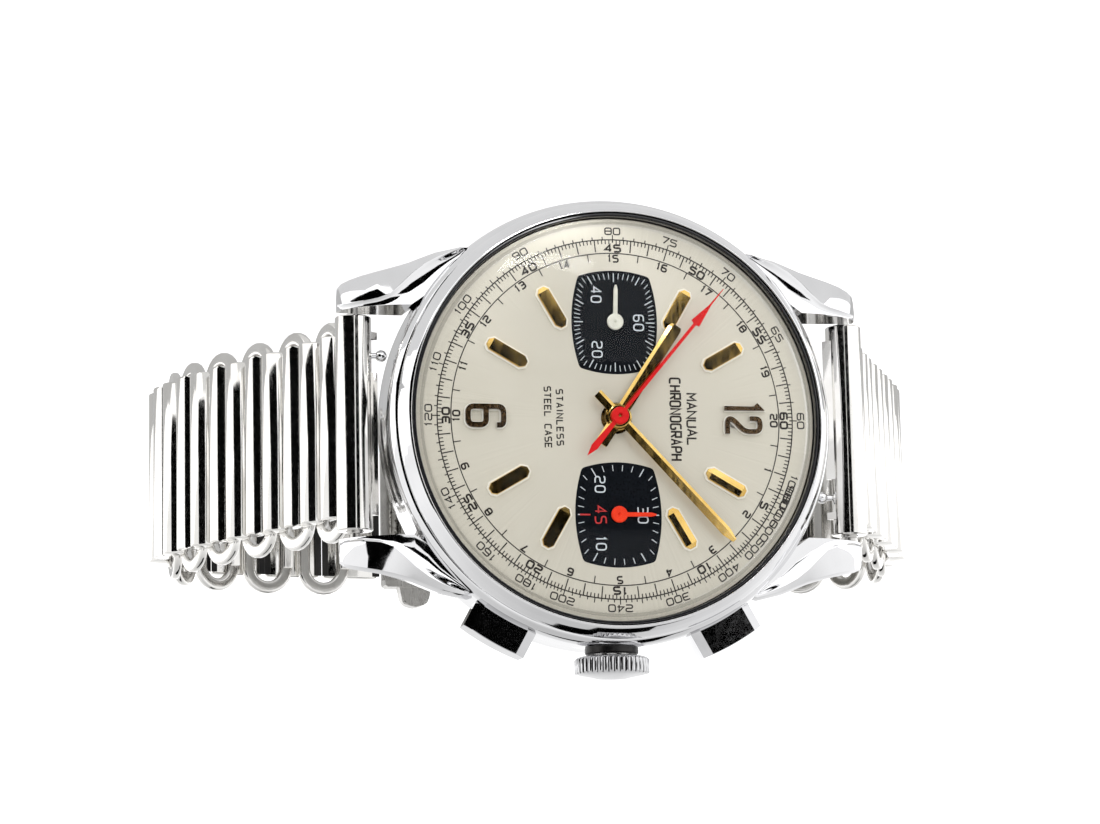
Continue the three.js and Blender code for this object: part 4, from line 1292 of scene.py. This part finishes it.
FLOOR_LEVEL = CAD_BOX[0].z - 0.0002
CARD_LEVEL = CAD_BOX[0].z - 0.0001
FLOOR_SIDE = 6
SQUARE = [(-0.5, -0.5, 0), (0.5, -0.5, 0), (0.5, 0.5, 0), (-0.5, 0.5, 0)], [(0, 1, 2, 3)]


def sheet(name, paint_name, color, glow, place, sides, shape=SQUARE):
    """A flat matt sheet of the stage, which gives off even white light if glow is above 0."""
    mesh = bpy.data.meshes.new(name)
    mesh.from_pydata(shape[0], [], shape[1])
    mesh.materials.append(principled(paint_name, color, 0.9, Specular_IOR_Level=0.0,
                                     Emission_Color=(1, 1, 1, 1), Emission_Strength=glow)[0])
    made = placed(bpy.data.objects.new(name, mesh), place @ Matrix.Diagonal((*sides, 1, 1)))
    return made


def card(name, glow, place, sides=(1, 1), shape=SQUARE):
    """A black or glowing sheet that only mirrors see."""
    made = sheet(name, name + "_black", (0, 0, 0), glow, place, sides, shape)
    made.visible_camera = made.visible_diffuse = made.visible_shadow = made.visible_transmission = False


def hung_card(name, direction, distance, width, height, glow=0.0, at=(0, 0, 0)):
    """A card that faces the watch, or the place at, from a direction given in the watch's frame."""
    towards = (TURN @ Vector(direction)).normalized()
    side = TO_3.cross(towards).normalized()
    basis = Matrix((side, towards.cross(side), towards)).transposed().to_4x4()
    place = Matrix.Translation(WATCH @ (Vector(at) * MM) + towards * distance)
    card(name, glow, place @ basis, (width, height))


def floor_place(x, y, level=CARD_LEVEL):
    """A place over the floor, measured in metres from the watch's middle."""
    return Matrix.Translation((MIDDLE.x + x, MIDDLE.y + y, level))


def floor_card(name, near, far, glow):
    """A card just above the floor, between two corners."""
    place = floor_place((near[0] + far[0]) / 2, (near[1] + far[1]) / 2)
    card(name, glow, place, (far[0] - near[0], far[1] - near[1]))


def floor_sector(name, centre, inner, outer, start, stop, steps=12):
    """A black card just above the floor, between two radii and two angles out from in front of the watch."""
    angles = [math.radians(start + (stop - start) * i / steps) for i in range(steps + 1)]
    points = [(r * math.sin(a), -r * math.cos(a), 0) for r in (inner, outer) for a in angles]
    faces = [(i, i + 1, i + steps + 2, i + steps + 1) for i in range(steps)]
    card(name, 0.0, floor_place(*centre), shape=(points, faces))


def area_light(name, direction, distance, size, power):
    towards = (TURN @ Vector(direction)).normalized()
    data = bpy.data.lights.new(name, "AREA")
    data.size = size
    data.energy = power
    facing = towards.to_track_quat("Z", "Y").to_matrix().to_4x4()
    placed(bpy.data.objects.new(name, data), Matrix.Translation(MIDDLE + towards * distance) @ facing)


def white_world():
    """Even white light, a little weaker from beyond 3 o'clock."""
    world = bpy.data.worlds.new("studio")
    bpy.context.scene.world = world
    world.use_nodes = True
    tree = world.node_tree
    background = tree.nodes["Background"]
    background.inputs["Color"].default_value = (1, 1, 1, 1)
    source = add(tree, "TexCoord").outputs["Generated"]
    toward = add(tree, "VectorMath", {0: source, 1: TO_3}, operation="DOT_PRODUCT").outputs["Value"]
    tree.links.new(ranged(tree, toward, 1.06, 0.6, 0.3, 1.0), background.inputs["Strength"])


sheet("floor", "floor_white", (0.9, 0.9, 0.9), 0.72, Matrix.Translation((0, 0, FLOOR_LEVEL)), [FLOOR_SIDE] * 2)
white_world()
hung_card("dial_flag", (-0.2, 0.15, 0.968), 0.234, 0.09, 0.165)
hung_card("crown_flag", (0.96, 0.21, -0.2), 0.3, 0.3, 0.085)
floor_sector("floor_flag_band", (0.03, 0.018), 0.039, 0.33, 2, 60)
floor_card("floor_flag_behind", (-0.07, 0.014), (0.06, 0.13), 0.55)
floor_card("floor_shade", (-0.04, -0.012), (0.04, 0.014), 0.78)
hung_card("band_flag", (-0.16, -0.49, 0.855), 0.3, 0.32, 0.36, at=(0, -28, -18))
area_light("softbox_left", (-0.5, -0.75, 0.6), 0.6, 0.25, 2.2)
hung_card("shoulder_glow", (-0.87, -0.3, 0.42), 0.0215, 0.014, 0.0025, 16)

# ---------------------------------------------------------------- camera

YAW = 12.17
TILT = 9.41
ROLL = 1.11
DISTANCE = 0.3001
LENS = 120.2
AIM = (-0.43, -5.56, 0)


def camera():
    """Above 3 o'clock's side and a little to 6 o'clock's, with 3 o'clock at the foot of the picture."""
    base = Matrix(((0, 1, 0), (-1, 0, 0), (0, 0, 1)))
    yaw = Matrix.Rotation(math.radians(YAW), 3, "Y")
    tilt = Matrix.Rotation(-math.radians(TILT), 3, "X")
    roll = Matrix.Rotation(math.radians(ROLL), 3, "Z")
    axes = (roll @ tilt @ yaw @ base).transposed()
    place = WATCH @ (Vector(AIM) * MM) + TURN @ (axes @ Vector((0, 0, DISTANCE)))
    data = bpy.data.cameras.new("camera")
    data.lens = LENS
    data.sensor_width = 36
    data.clip_start = 0.01
    view = placed(bpy.data.objects.new("camera", data), Matrix.Translation(place) @ (TURN @ axes).to_4x4())
    bpy.context.scene.camera = view


camera()
bpy.context.scene.view_settings.view_transform = "Standard"
